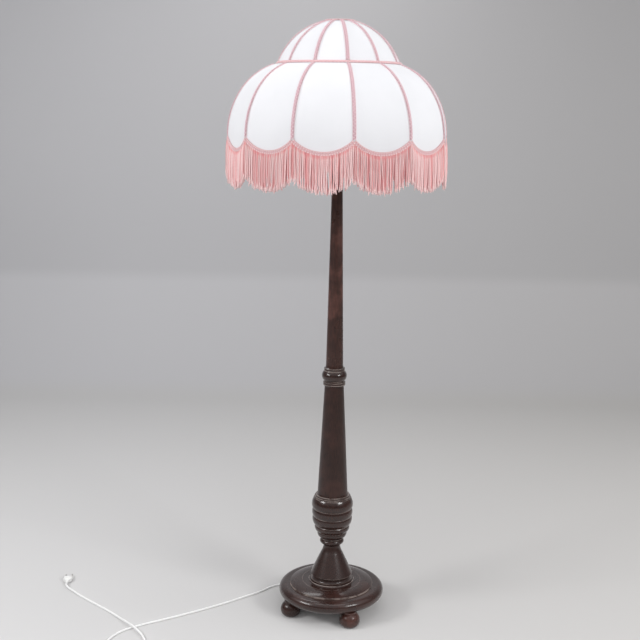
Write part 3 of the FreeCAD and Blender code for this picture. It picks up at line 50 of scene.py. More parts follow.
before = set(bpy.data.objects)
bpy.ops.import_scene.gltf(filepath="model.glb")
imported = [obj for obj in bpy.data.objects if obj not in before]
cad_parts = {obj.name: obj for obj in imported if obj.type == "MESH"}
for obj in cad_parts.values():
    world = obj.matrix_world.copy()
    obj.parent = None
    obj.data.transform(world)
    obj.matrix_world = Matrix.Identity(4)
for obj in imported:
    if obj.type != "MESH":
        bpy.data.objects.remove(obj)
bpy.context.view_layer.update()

MM = 0.001
BELL_LOW, BELL_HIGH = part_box("bell_cover")
DOME_LOW, DOME_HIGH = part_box("dome_cover")
BALUSTER_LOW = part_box("baluster")[0]

# Radii on the disc and heights on the turned pieces where pale lines are painted, with strengths:
# rubbed varnish, and on the vase also painted highlight.
DISC_EDGES = ((0.1193, 0.85), (0.0842, 0.5), (0.0643, 0.95))
CONE_EDGES = ((-0.0868, 0.8), (-0.1018, 0.35))
VASE_WEAR_AND_HIGHLIGHT_LINES = (0.004, 0.018, 0.0215, 0.040, 0.060, 0.0877, 0.1117, 0.1435, 0.1475, 0.152)
KNOP_EDGES = (0.004, 0.011, 0.015, 0.043, 0.045, 0.051)
WORN_AND_HIGHLIGHT_WIDTH = 0.9 * MM

GORE_COLUMNS = 29
PUCKER = 0.25 * MM
RIB_STEP, BRAID_STEP = 0.0014, 0.0013
BEAD_PITCH = 0.0066
STRAND_RINGS = 17

PHOTO_PIXELS, FOCAL_PIXELS = 640.0, 1100.0
CAMERA_TURNS = (11.2511632, -0.80921791, 0.73346380)
WALL_AT, FLOOR_REACH, WALL_HEIGHT = 2.25, 9.0, 6.0


# ------------------------------------------------------------------ sizes and colours


class LampShadeSizes(bpy.types.PropertyGroup):
    """Sizes of the shade's cloth, braids and fringe."""

    cusp_radius: FloatProperty(
        name="Cusp radius", description="From the axis to the cloth at the foot of a rib",
        default=0.296, unit="LENGTH")
    shoulder_radius: FloatProperty(
        name="Shoulder radius", description="Where the bell meets the dome",
        default=0.163, unit="LENGTH")
    top_radius: FloatProperty(
        name="Top radius", description="Radius of the cloth at the top ring",
        default=0.036, unit="LENGTH")
    bell_bow: FloatProperty(
        name="Bell bow", description="Radius of the rib's lower curve",
        default=0.216, unit="LENGTH")
    bell_turn: FloatProperty(
        name="Bell turn", description="How far the rib's lower curve turns",
        default=math.radians(31), subtype="ANGLE")
    dome_bow: FloatProperty(
        name="Dome bow", description="Radius of a rib's curve over the dome",
        default=0.168, unit="LENGTH")
    gores: IntProperty(
        name="Gores", description="Panels round the shade", default=12, min=3)
    phase: FloatProperty(
        name="Phase", description="Azimuth of the first rib",
        default=math.radians(7.7), subtype="ANGLE")
    scallop_drop: FloatProperty(
        name="Scallop drop", description="How far each scallop hangs below its cusps",
        default=0.031, unit="LENGTH")
    bell_hollow: FloatProperty(
        name="Bell hollow", description="How far the taut cloth sinks between the ribs",
        default=0.003, unit="LENGTH")
    dome_hollow: FloatProperty(
        name="Dome hollow", description="The same, over the dome",
        default=0.001, unit="LENGTH")
    cloth_thickness: FloatProperty(
        name="Cloth thickness", description="Thickness of the cloth",
        default=0.0009, unit="LENGTH")
    rib_braid_width: FloatProperty(
        name="Rib braid width", description="Width of the braid over the ribs",
        default=0.0112, unit="LENGTH")
    ring_braid_width: FloatProperty(
        name="Ring braid width", description="Width of the braid round the rings",
        default=0.0095, unit="LENGTH")
    gimp_width: FloatProperty(
        name="Gimp width", description="Width of the gimp along the scallops",
        default=0.010, unit="LENGTH")
    braid_pitch: FloatProperty(
        name="Braid pitch", description="Length in which a strand of braid crosses and returns",
        default=0.0092, unit="LENGTH")
    fringe_length: FloatProperty(
        name="Fringe length", description="Length of the fringe's strands",
        default=0.093, unit="LENGTH")
    strand_diameter: FloatProperty(
        name="Strand diameter", description="Thickness of a fringe strand",
        default=0.0023, unit="LENGTH")
    strand_spacing: FloatProperty(
        name="Strand spacing", description="Distance between strands in a row",
        default=0.0031, unit="LENGTH")
    seed: IntProperty(
        name="Seed", description="Chooses how the strands hang", default=7)


class LampCordSizes(bpy.types.PropertyGroup):
    """Sizes of the mains cord and its plug."""

    diameter: FloatProperty(
        name="Diameter", description="Thickness of the cord", default=0.006, unit="LENGTH")
    length: FloatProperty(
        name="Length", description="Length of free cord from the bush to the plug",
        default=1.43, unit="LENGTH")
    plug_azimuth: FloatProperty(
        name="Plug azimuth", description="The way the plug's pins point",
        default=math.radians(95), subtype="ANGLE")


class LampColours(bpy.types.PropertyGroup):
    """Colours of the lamp's finishes."""

    wood_dark: FloatVectorProperty(
        name="Wood, dark", description="The varnished wood's darkest grain",
        default=(0.016, 0.0068, 0.0052), subtype="COLOR", size=3)
    wood_mid: FloatVectorProperty(
        name="Wood, mid", description="The varnished wood's main colour",
        default=(0.043, 0.0172, 0.0126), subtype="COLOR", size=3)
    wood_red: FloatVectorProperty(
        name="Wood, red", description="Where the reddish wood shows through",
        default=(0.072, 0.0285, 0.022), subtype="COLOR", size=3)
    # Pale colour of rubbed edges and chips, also used for the painted highlight lines on the vase.
    wood_worn_and_highlight: FloatVectorProperty(
        name="Wood, worn", description="Bare wood on rubbed edges",
        default=(0.50, 0.42, 0.38), subtype="COLOR", size=3)
    cloth: FloatVectorProperty(
        name="Cloth", description="The shade's white cloth",
        default=(0.86, 0.86, 0.885), subtype="COLOR", size=3)
    braid_pale: FloatVectorProperty(
        name="Braid, pale", description="The braid's pale strands",
        default=(0.93, 0.71, 0.72), subtype="COLOR", size=3)
    braid_rose: FloatVectorProperty(
        name="Braid, rose", description="The braid's darker strands",
        default=(0.74, 0.37, 0.40), subtype="COLOR", size=3)
    fringe: FloatVectorProperty(
        name="Fringe", description="The fringe's strands",
        default=(0.99, 0.585, 0.578), subtype="COLOR", size=3)
    sheath: FloatVectorProperty(
        name="Cord", description="The cord's sheath", default=(0.96, 0.96, 0.95),
        subtype="COLOR", size=3)


class LampStudio(bpy.types.PropertyGroup):
    """The studio: floor, wall, lights and the camera's place."""

    floor: FloatVectorProperty(
        name="Floor", description="Colour of the floor", default=(0.76, 0.75, 0.748),
        subtype="COLOR", size=3)
    wall: FloatVectorProperty(
        name="Wall", description="Colour of the wall behind", default=(0.535, 0.53, 0.545),
        subtype="COLOR", size=3)
    key_power: FloatProperty(
        name="Key power", description="Power of each soft box", default=18.0)
    camera_height: FloatProperty(
        name="Camera height", description="Height of the camera", default=1.455, unit="LENGTH")
    camera_distance: FloatProperty(
        name="Camera distance", description="From the column's axis to the camera",
        default=3.0, unit="LENGTH")


def sizes():
    return bpy.context.scene.lamp_shade


def colours():
    return bpy.context.scene.lamp_colours


# ------------------------------------------------------------------ node wiring


class Wiring:
    """Short calls that add and link the shader nodes of one material."""

    def __init__(self, name, roughness=0.5, metallic=0.0, **constants):
        self.material = bpy.data.materials.new(name)
        self.material.use_nodes = True
        self.tree = self.material.node_tree
        self.shader = self.tree.nodes["Principled BSDF"]
        self.set("Roughness", roughness)
        self.set("Metallic", metallic)
        for key, value in constants.items():
            self.set(key.replace("_", " "), value)

    def set(self, socket, value):
        target = self.shader.inputs[socket]
        if isinstance(value, bpy.types.NodeSocket):
            self.tree.links.new(value, target)
        elif hasattr(value, "__len__") and len(value) == 3 and target.type == "RGBA":
            target.default_value = (*value, 1.0)
        else:
            target.default_value = value

    def add(self, kind, inputs, **settings):
        node = self.tree.nodes.new(kind)
        for key, value in settings.items():
            setattr(node, key, value)
        for key, value in inputs.items():
            if isinstance(value, bpy.types.NodeSocket):
                self.tree.links.new(value, node.inputs[key])
            elif hasattr(value, "__len__") and len(value) == 3 and node.inputs[key].type == "RGBA":
                node.inputs[key].default_value = (*value, 1.0)
            else:
                node.inputs[key].default_value = value
        return node

    def place(self, scale=(1, 1, 1)):
        """The point on the object, in metres times scale."""
        where = self.add("ShaderNodeTexCoord", {}).outputs["Object"]
        return self.scaled(where, scale)

    def scaled(self, vector, scale):
        node = self.add("ShaderNodeVectorMath", {0: vector, 1: scale}, operation="MULTIPLY")
        return node.outputs[0]

    def axes(self):
        where = self.add("ShaderNodeTexCoord", {}).outputs["Object"]
        return self.add("ShaderNodeSeparateXYZ", {0: where}).outputs

    def math(self, operation, first, second=0.0, third=0.0):
        node = self.add("ShaderNodeMath", {0: first, 1: second, 2: third}, operation=operation)
        return node.outputs[0]

    def noise(self, where, scale, detail=4.0, roughness=0.55, distortion=0.0):
        return self.add("ShaderNodeTexNoise", {
            "Vector": where, "Scale": scale, "Detail": detail, "Roughness": roughness,
            "Distortion": distortion}).outputs["Fac"]

    def spots(self, where, scale):
        return self.add("ShaderNodeTexVoronoi", {
            "Vector": where, "Scale": scale, "Randomness": 1.0}).outputs["Distance"]

    def waves(self, where, scale, direction="X", distortion=0.0, detail=2.0):
        return self.add("ShaderNodeTexWave", {
            "Vector": where, "Scale": scale, "Distortion": distortion, "Detail": detail},
            wave_type="BANDS", bands_direction=direction).outputs["Fac"]

    def step(self, value, low, high, smooth=True):
        """From 0 below low to 1 above high; low may be the larger one."""
        return self.add("ShaderNodeMapRange", {
            "Value": value, "From Min": low, "From Max": high, "To Min": 0.0, "To Max": 1.0},
            interpolation_type="SMOOTHSTEP" if smooth else "LINEAR").outputs["Result"]

    def blend(self, factor, first, second):
        """One colour over another."""
        node = self.add("ShaderNodeMix", {}, data_type="RGBA")
        for socket, value in ((node.inputs[0], factor), (node.inputs[6], first),
                              (node.inputs[7], second)):
            if isinstance(value, bpy.types.NodeSocket):
                self.tree.links.new(value, socket)
            elif hasattr(value, "__len__") and len(value) == 3:
                socket.default_value = (*value, 1.0)
            else:
                socket.default_value = value
        return node.outputs[2]

    def attribute(self, name):
        return self.add("ShaderNodeAttribute", {}, attribute_name=name).outputs["Fac"]

    def uv(self, scale):
        """The point in the piece's weave, in metres times scale."""
        return self.scaled(self.add("ShaderNodeUVMap", {}, uv_map="weave").outputs["UV"], scale)

    def bump(self, height, strength, distance):
        node = self.add("ShaderNodeBump", {"Height": height, "Strength": strength,
                                           "Distance": distance})
        self.set("Normal", node.outputs[0])

    # Pale edge lines: rubbed varnish, and on the vase painted highlight as well.
    def worn_and_highlight_lines(self, along, levels, width):
        """1 on thin broken lines at the given values of a coordinate, and 0 between them."""
        lines = None
        for level, strength in levels:
            away = self.math("ABSOLUTE", self.math("SUBTRACT", along, level))
            line = self.math("MULTIPLY", self.step(away, width, width * 0.25), strength)
            lines = line if lines is None else self.math("MAXIMUM", lines, line)
        # Noise breaks up the pale lines, the worn ones and the painted highlight alike.
        rubbed = self.step(self.noise(self.place(), 38.0, 3.0), 0.38, 0.56)
        return self.math("MULTIPLY", lines, self.math("MULTIPLY_ADD", rubbed, 0.75, 0.25))


# ------------------------------------------------------------------ finishes


def varnished_wood(name, grain_scale, along=None, edges=(), chips=0.0, redness=0.5, dull=0.17,
                   coat=0.55, light=1.0):
    """Dark satin varnish over turned wood, with pale lines on its edges: rubbed varnish, and on the
    vase also painted highlight.

    along is "radius" or "height", the coordinate in which edges gives (value, strength) pairs.
    """
    hues = colours()
    wiring = Wiring(name, roughness=0.3, Specular_IOR_Level=0.36, Coat_Weight=coat,
                    Coat_Roughness=0.11)
    grain_place = wiring.place(grain_scale)
    fibre = wiring.noise(grain_place, 5.0, 6.0, 0.6, 0.4)
    figure = wiring.noise(grain_place, 0.9, 3.0, 0.5, 1.2)
    clouds = wiring.noise(wiring.place(), 9.0, 4.0, 0.6)
    fine = wiring.noise(wiring.place(), 60.0, 3.0, 0.5)
    dark, mid, red = (tuple(value * light for value in hue)
                      for hue in (hues.wood_dark, hues.wood_mid, hues.wood_red))
    colour = wiring.blend(wiring.step(fibre, 0.34, 0.68), dark, mid)
    patch = wiring.math("MULTIPLY", wiring.step(clouds, 0.47, 0.68), redness)
    patch = wiring.math("MULTIPLY", patch, wiring.math("MULTIPLY_ADD", figure, 0.8, 0.35))
    colour = wiring.blend(patch, colour, red)
    if edges:
        axes = wiring.axes()
        if along == "radius":
            reach = wiring.math("ADD", wiring.math("MULTIPLY", axes[0], axes[0]),
                                wiring.math("MULTIPLY", axes[1], axes[1]))
            along_value = wiring.math("SQRT", reach)
        else:
            along_value = axes[2]
        # Pale lines painted at the edges: rubbed varnish, and on the vase painted highlight too.
        lines = wiring.worn_and_highlight_lines(along_value, edges, WORN_AND_HIGHLIGHT_WIDTH)
        colour = wiring.blend(wiring.math("MULTIPLY", lines, 0.75), colour, tuple(hues.wood_worn_and_highlight))
    if chips:
        fleck = wiring.step(wiring.spots(wiring.place(), 95.0), 0.16, 0.05)
        where = wiring.step(wiring.noise(wiring.place(), 21.0, 2.0), 0.60, 0.68)
        fleck = wiring.math("MULTIPLY", wiring.math("MULTIPLY", fleck, where), chips)
        colour = wiring.blend(fleck, colour, tuple(hues.wood_worn_and_highlight))
    wiring.set("Base Color", colour)
    rough = wiring.math("MULTIPLY_ADD", wiring.step(clouds, 0.3, 0.75), 0.10, dull)
    wiring.set("Roughness", wiring.math("MULTIPLY_ADD", wiring.step(fine, 0.35, 0.7), 0.05, rough))
    height = wiring.math("MULTIPLY_ADD", fine, 0.5, wiring.math("MULTIPLY", fibre, 0.6))
    wiring.bump(height, 0.07, 0.12 * MM)
    return wiring.material


def shade_cloth(name):
    """Plain white cotton, tight on its frame."""
    wiring = Wiring(name, roughness=0.85, Sheen_Weight=0.12, Sheen_Roughness=0.5,
                    Specular_IOR_Level=0.25, Subsurface_Weight=0.0)
    warp = wiring.waves(wiring.uv((1, 1, 1)), 520.0, "X", 1.5, 1.0)
    weft = wiring.waves(wiring.uv((1, 1, 1)), 520.0, "Y", 1.5, 1.0)
    weave = wiring.math("MULTIPLY", wiring.math("ADD", warp, weft), 0.5)
    slub = wiring.noise(wiring.uv((420, 16, 1)), 1.0, 3.0, 0.6)
    slub_across = wiring.noise(wiring.uv((16, 420, 1)), 1.0, 3.0, 0.6)
    soft = wiring.noise(wiring.place(), 7.0, 3.0)
    shade = wiring.math("MULTIPLY_ADD", wiring.step(soft, 0.3, 0.75), 0.5,
                        wiring.math("MULTIPLY", wiring.math("ADD", slub, slub_across), 0.25))
    white = tuple(colours().cloth)
    dim = tuple(value * 0.93 for value in white)
    wiring.set("Base Color", wiring.blend(shade, dim, white))
    height = wiring.math("MULTIPLY_ADD", weave, 0.5, wiring.math("ADD", slub, slub_across))
    wiring.bump(height, 0.12, 0.15 * MM)
    return wiring.material


def spun_thread(name, pale, deep, twist, lift=0.18, sheen=0.2):
    """Twisted thread whose strands differ in tone, with painted shade in the grooves of its twist;
    uv x runs round a strand and y along it.
    """
    wiring = Wiring(name, roughness=0.62, Sheen_Weight=sheen, Sheen_Roughness=0.4,
                    Specular_IOR_Level=0.4)
    tone = wiring.attribute("tone")
    lay = wiring.uv((1.0, twist, 0))
    parts = wiring.add("ShaderNodeSeparateXYZ", {0: lay}).outputs
    turn = wiring.math("FRACT", wiring.math("ADD", parts[0], parts[1]))
    ridge = wiring.math("ABSOLUTE", wiring.math("MULTIPLY_ADD", turn, 2.0, -1.0))
    fluff = wiring.noise(wiring.place(), 900.0, 2.0)
    base = wiring.blend(tone, pale, deep)
    # Painted shade: the colour darkens towards deep in the grooves of the twist.
    dark = wiring.math("MULTIPLY", wiring.step(ridge, 0.35, 0.0), 0.4)
    colour = wiring.blend(dark, base, tuple(value * 0.6 for value in deep))
    bright = wiring.math("MULTIPLY", wiring.step(fluff, 0.45, 0.75), lift)
    wiring.set("Base Color", wiring.blend(bright, colour, (0.93, 0.80, 0.78)))
    wiring.bump(wiring.math("MULTIPLY_ADD", fluff, 0.3, ridge), 0.5, 0.35 * MM)
    return wiring.material


def metal(name, colour, roughness, tarnish):
    """Bare or plated metal with a little tarnish."""
    wiring = Wiring(name, roughness=roughness, metallic=1.0)
    cloud = wiring.noise(wiring.place(), 60.0, 4.0, 0.6)
    dull = tuple(value * (1 - tarnish) for value in colour)
    wiring.set("Base Color", wiring.blend(wiring.step(cloud, 0.35, 0.7), dull, colour))
    wiring.set("Roughness", wiring.math("MULTIPLY_ADD", cloud, 0.25, roughness - 0.1))
    scratch = wiring.noise(wiring.place((900, 900, 60)), 1.0, 2.0)
    wiring.bump(scratch, 0.05, 0.1 * MM)
    return wiring.material


def moulded(name, colour, roughness, grain=0.04, marks=0.86):
    """Moulded or enamelled surface with a faint ripple and handling marks."""
    wiring = Wiring(name, roughness=roughness, Coat_Weight=0.0)
    cloud = wiring.noise(wiring.place(), 45.0, 3.0)
    smear = wiring.noise(wiring.place((60, 60, 200)), 1.0, 4.0)
    dim = tuple(value * marks for value in colour)
    wiring.set("Base Color", wiring.blend(wiring.step(cloud, 0.32, 0.62), dim, colour))
    wiring.set("Roughness", wiring.math("MULTIPLY_ADD", smear, 0.2, roughness - 0.1))
    wiring.bump(wiring.noise(wiring.place(), 700.0, 2.0), grain, 0.15 * MM)
    return wiring.material


def lamp_glass(name, roughness, colour):
    """Thin bulb glass; the frosted kind is etched inside."""
    wiring = Wiring(name, roughness=roughness, Transmission_Weight=1.0, IOR=1.35)
    cloud = wiring.noise(wiring.place(), 90.0, 3.0)
    wiring.set("Base Color", wiring.blend(cloud, tuple(v * 0.96 for v in colour), colour))
    etching = 0.03 if roughness > 0.2 else 0.0
    wiring.bump(wiring.noise(wiring.place(), 1200.0, 2.0), etching, 0.1 * MM)
    return wiring.material


# ------------------------------------------------------------------ mesh making


class Strands:
    """Collects round or flat strands and turns them into one mesh."""

    def __init__(self):
        self.points, self.quads, self.uvs, self.tones = [], [], [], []
        self.count = 0

    def add(self, line, normal, half_width, half_height, sides=6, tone=0.0, closed=False,
            taper=None, lead=0.0):
        """A strand along a line of points; normal is the outward direction at each of them."""
        line = np.asarray(line, float)
        total = len(line)
        if closed:
            tangent = np.roll(line, -1, 0) - np.roll(line, 1, 0)
        else:
            tangent = np.gradient(line, axis=0)
        tangent /= np.linalg.norm(tangent, axis=1, keepdims=True)
        normal = np.broadcast_to(np.asarray(normal, float), line.shape)
        side = np.cross(tangent, normal)
        side /= np.linalg.norm(side, axis=1, keepdims=True)
        up = np.cross(side, tangent)
        run = np.concatenate(([0.0], np.cumsum(np.linalg.norm(np.diff(line, axis=0), axis=1))))
        angle = 2 * np.pi * np.arange(sides) / sides
        size = np.ones(total) if taper is None else np.asarray(taper)
        across = np.cos(angle) * half_width * size[:, None]
        height = np.sin(angle) * half_height * size[:, None]
        ring = (line[:, None, :] + side[:, None, :] * across[..., None]
                + up[:, None, :] * height[..., None])
        self.points.append(ring.reshape(-1, 3))
        index = self.count + np.arange(total * sides).reshape(total, sides)
        rows = np.arange(total if closed else total - 1)
        low, high = index[rows], index[(rows + 1) % total]
        quads = np.stack((low, np.roll(low, -1, 1), np.roll(high, -1, 1), high), -1)
        self.quads.append(quads.reshape(-1, 4))
        run = run + lead
        step = np.arange(sides)
        across_uv = np.stack((step, step + 1, step + 1, step), -1) / sides
        ahead = run[1] - run[0]
        low_run = run[rows]
        high_run = np.append(run[1:], run[-1] + ahead)[rows]
        along_uv = np.stack((low_run, low_run, high_run, high_run), -1)
        uv = np.empty((len(rows), sides, 4, 2))
        uv[..., 0] = across_uv[None]
        uv[..., 1] = along_uv[:, None, :]
        self.uvs.append(uv.reshape(-1, 2))
        tone = np.broadcast_to(tone, total)
        self.tones.append(np.repeat(tone, sides))
        if not closed:
            for end, order, way in ((0, -1, -1), (-1, 1, 1)):
                self.cap(line[end], index[end][::order], way * tangent[end], run[end],
                         size[end] * half_height, tone[end])
        self.count = sum(len(block) for block in self.points)

    def cap(self, centre, ring, outward, run, reach, tone):
        """Rounds off the end of a strand."""
        tip = sum(len(block) for block in self.points)
        self.points.append((centre + outward * reach * 0.7)[None])
        self.tones.append(np.full(1, tone))
        tips = np.full(len(ring), tip)
        self.quads.append(np.stack((ring, np.roll(ring, -1), tips, tips), -1))
        self.uvs.append(np.tile((0.0, run), (len(ring) * 4, 1)))

    def piece(self, name, material):
        """All strands so far as one object; a quad whose last corners agree is a cap's triangle."""
        points = np.concatenate(self.points)
        quads = np.concatenate(self.quads)
        uvs = np.concatenate(self.uvs)
        triangle = quads[:, 2] == quads[:, 3]
        lengths = np.where(triangle, 3, 4)
        keep = np.ones(quads.shape, bool)
        keep[triangle, 3] = False
        return new_piece(name, points, quads[keep], lengths, material, uvs[keep.reshape(-1)],
                         np.concatenate(self.tones))


def new_piece(name, points, corners, lengths, material, uvs=None, tones=None):
    """A mesh object from flat arrays of points and face corners."""
    mesh = bpy.data.meshes.new(name)
    mesh.vertices.add(len(points))
    mesh.vertices.foreach_set("co", np.asarray(points, np.float32).reshape(-1))
    mesh.loops.add(len(corners))
    mesh.loops.foreach_set("vertex_index", np.asarray(corners, np.int32))
    mesh.polygons.add(len(lengths))
    starts = np.concatenate(([0], np.cumsum(lengths)[:-1])).astype(np.int32)
    mesh.polygons.foreach_set("loop_start", starts)
    mesh.update(calc_edges=True)
    mesh.validate()
    if uvs is not None and len(mesh.loops) == len(uvs):
        layer = mesh.uv_layers.new(name="weave")
        layer.data.foreach_set("uv", np.asarray(uvs, np.float32).reshape(-1))
    if tones is not None and len(mesh.vertices) == len(tones):
        attribute = mesh.attributes.new("tone", "FLOAT", "POINT")
        attribute.data.foreach_set("value", np.asarray(tones, np.float32))
    mesh.polygons.foreach_set("use_smooth", np.ones(len(mesh.polygons), bool))
    mesh.materials.append(material)
    piece = bpy.data.objects.new(name, mesh)
    bpy.context.scene.collection.objects.link(piece)
    return piece


def finish_piece(piece, body, slot, *nodes):
    """Rides the piece on its body and puts it in place of its CAD nodes."""
    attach(piece, body)
    if nodes:
        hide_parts(*nodes)


def clothe(node, material):
    """Gives a CAD node its finish."""
    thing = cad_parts[node]
    thing.data.materials.clear()
    thing.data.materials.append(material)


# ------------------------------------------------------------------ the shade's curves


def bell_curves():
    """The two tangent arcs of a rib from cusp to shoulder: centre, radius and angles."""
    shade = sizes()
    foot, top = cusp_level(), BELL_HIGH.z
    centre = (shade.cusp_radius - shade.bell_bow, foot)
    turn = shade.bell_turn
    normal = (math.cos(turn), math.sin(turn))
    join = (centre[0] + shade.bell_bow * normal[0], foot + shade.bell_bow * normal[1])
    gap = (shade.shoulder_radius - join[0], top - join[1])
    bow = -(gap[0] ** 2 + gap[1] ** 2) / (2 * (gap[0] * normal[0] + gap[1] * normal[1]))
    high = (join[0] - bow * normal[0], join[1] - bow * normal[1])
    end = math.atan2(top - high[1], shade.shoulder_radius - high[0])
    return (centre, shade.bell_bow, 0.0, turn), (high, bow, turn, end)


def dome_curve():
    shade = sizes()
    start = Vector((shade.shoulder_radius, BELL_HIGH.z))
    end = Vector((shade.top_radius, DOME_HIGH.z))
    chord = end - start
    lift = math.sqrt(shade.dome_bow ** 2 - chord.length ** 2 / 4)
    centre = (start + end) / 2 + Vector((-chord.y, chord.x)) / chord.length * lift
    angles = [math.atan2(p.y - centre.y, p.x - centre.x) for p in (start, end)]
    return ((centre.x, centre.y), shade.dome_bow, *angles)


def cusp_level():
    shade = sizes()
    return BELL_LOW.z + shade.scallop_drop + shade.gimp_width


def along_curves(curves, count):
    """Evenly spaced (radius, height) points along arcs, and the outward normal at each."""
    lengths = [abs(radius * (end - start)) for _, radius, start, end in curves]
    total = sum(lengths)
    points, normals = [], []
    for place in np.linspace(0, total, count):
        item = 0
        while item < len(curves) - 1 and place > lengths[item]:
            place -= lengths[item]
            item += 1
        centre, radius, start, end = curves[item]
        angle = start + (end - start) * min(place / lengths[item], 1.0)
        normals.append((math.cos(angle), math.sin(angle)))
        points.append((centre[0] + radius * math.cos(angle),
                       centre[1] + radius * math.sin(angle)))
    return np.array(points), np.array(normals), total


def spun_round(points, azimuth):
    """Points given as (outward, sideways, up) turned to an azimuth."""
    outward, sideways, up = (points[..., k] for k in range(3))
    cos, sin = math.cos(azimuth), math.sin(azimuth)
    return np.stack((outward * cos - sideways * sin, outward * sin + sideways * cos, up), -1)


def gore_azimuths():
    shade = sizes()
    step = 2 * math.pi / shade.gores
    return [shade.phase + step * (gore + 0.5) for gore in range(shade.gores)], step / 2


def scallop_level(share, offset):
    """Height of a scallop line at a share (-1 to 1) of a gore's width, offset below the cusps."""
    shade = sizes()
    half = shade.cusp_radius * math.sin(math.pi / shade.gores)
    bow = (half ** 2 + shade.scallop_drop ** 2) / (2 * shade.scallop_drop)
    across = np.asarray(share) * half
    middle = cusp_level() - offset - shade.scallop_drop
    return middle + bow - np.sqrt(bow ** 2 - across ** 2)


def gore_surface(rim_points, bulges, columns, tuck):
    """One gore of taut cloth, as rows of points between two ribs, puckered beside the braid."""
    shade = sizes()
    half = math.pi / shade.gores
    share = np.linspace(-1, 1, columns)
    reach, level = rim_points[:, 0], rim_points[:, 1]
    outward = (reach * math.cos(half))[:, None] + bulges[:, None] * (1 - share ** 2)[None, :]
    sideways = (reach * math.sin(half))[:, None] * share[None, :]
    up = np.broadcast_to(level[:, None], outward.shape)
    edge = np.exp(-(1 - np.abs(share)) * 26)[None, :]
    run = np.arange(len(level))[:, None] * tuck
    outward = outward + PUCKER * edge * np.sin(run + share[None, :] * 3)
    return np.stack((outward, sideways, up), -1), share


# ------------------------------------------------------------------ operators


class LAMP_OT_wood(bpy.types.Operator):
    """Varnish the turned base, feet and column"""

    bl_idname = "lamp.wood"
    bl_label = "Turned wood"

    def execute(self, context):
        foot, knop_foot = BALUSTER_LOW.z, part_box("knop")[0].z
        disc = varnished_wood("disc_varnish", (26, 150, 150), "radius", DISC_EDGES,
                              chips=0.8, redness=0.55, dull=0.2)
        cone = varnished_wood("cone_varnish", (170, 170, 13), "height",
                              [(foot + level, strength) for level, strength in CONE_EDGES],
                              chips=0.25, redness=0.35, dull=0.24)
        # The vase's pale lines at its lobe edges are partly painted highlight.
        vase = varnished_wood("vase_varnish", (150, 150, 22), "height",
                              [(foot + level, 0.62) for level in VASE_WEAR_AND_HIGHLIGHT_LINES],
                              chips=0.2, redness=0.5, dull=0.2)
        knop = varnished_wood("knop_varnish", (150, 150, 22), "height",
                              [(knop_foot + level, 0.75) for level in KNOP_EDGES],
                              chips=0.3, redness=0.5)
        shaft = varnished_wood("shaft_varnish", (190, 190, 9), redness=0.8, dull=0.27, coat=0.1,
                               light=0.86)
        upper = varnished_wood("upper_shaft_varnish", (150, 150, 7), chips=0.35, redness=1.9,
                               dull=0.25, coat=0.2, light=1.45)
        bun = varnished_wood("foot_varnish", (120, 120, 40), chips=1.0, redness=2.4, dull=0.24,
                             coat=0.25, light=1.15)
        for node, material in (("base_disc", disc), ("pedestal_cone", cone), ("baluster", vase),
                               ("knop", knop), ("lower_shaft", shaft), ("upper_shaft", upper)):
            clothe(node, material)
        for place in range(1, 5):
            clothe(f"bun_foot_{place}", bun)
        clothe("foot_dowels", moulded("dowel_beech", (0.55, 0.40, 0.24), 0.6))
        return {"FINISHED"}


class LAMP_OT_fittings(bpy.types.Operator):
    """Finish the lampholder, bulb, switch, fixings and the shade's wire frame"""

    bl_idname = "lamp.fittings"
    bl_label = "Fittings"

    def execute(self, context):
        brass = metal("aged_brass", (0.66, 0.47, 0.20), 0.34, 0.35)
        steel = metal("plain_steel", (0.52, 0.52, 0.52), 0.38, 0.2)
        nickel = metal("nickel_plate", (0.74, 0.72, 0.68), 0.22, 0.15)
        black = moulded("black_moulding", (0.020, 0.018, 0.017), 0.32)
        glaze = moulded("white_glaze", (0.80, 0.79, 0.75), 0.25)
        enamel = moulded("white_enamel", (0.78, 0.77, 0.75), 0.42, 0.1)
        finishes = {
            brass: ("shaft_cap", "nipple", "nipple_nut", "screw_shell", "centre_contact",
                    "bulb_tip"),
            steel: ("column_screws", "clip_screws", "filament"),
            nickel: ("bulb_cap",),
            black: ("lampholder_cap", "lampholder_barrel", "shade_ring", "shade_nut", "switch_bar"),
            glaze: ("lampholder_insert", "cord_clip"),
            enamel: ("carrier_ring", "carrier_arms", "shoulder_ring", "top_ring", "bell_ribs",
                     "dome_ribs", "scallop_wires"),
            lamp_glass("frosted_glass", 0.45, (0.95, 0.95, 0.93)): ("bulb_glass",),
            lamp_glass("clear_glass", 0.05, (0.93, 0.95, 0.95)): ("bulb_stem",),
        }
        for material, nodes in finishes.items():
            for node in nodes:
                clothe(node, material)
        return {"FINISHED"}


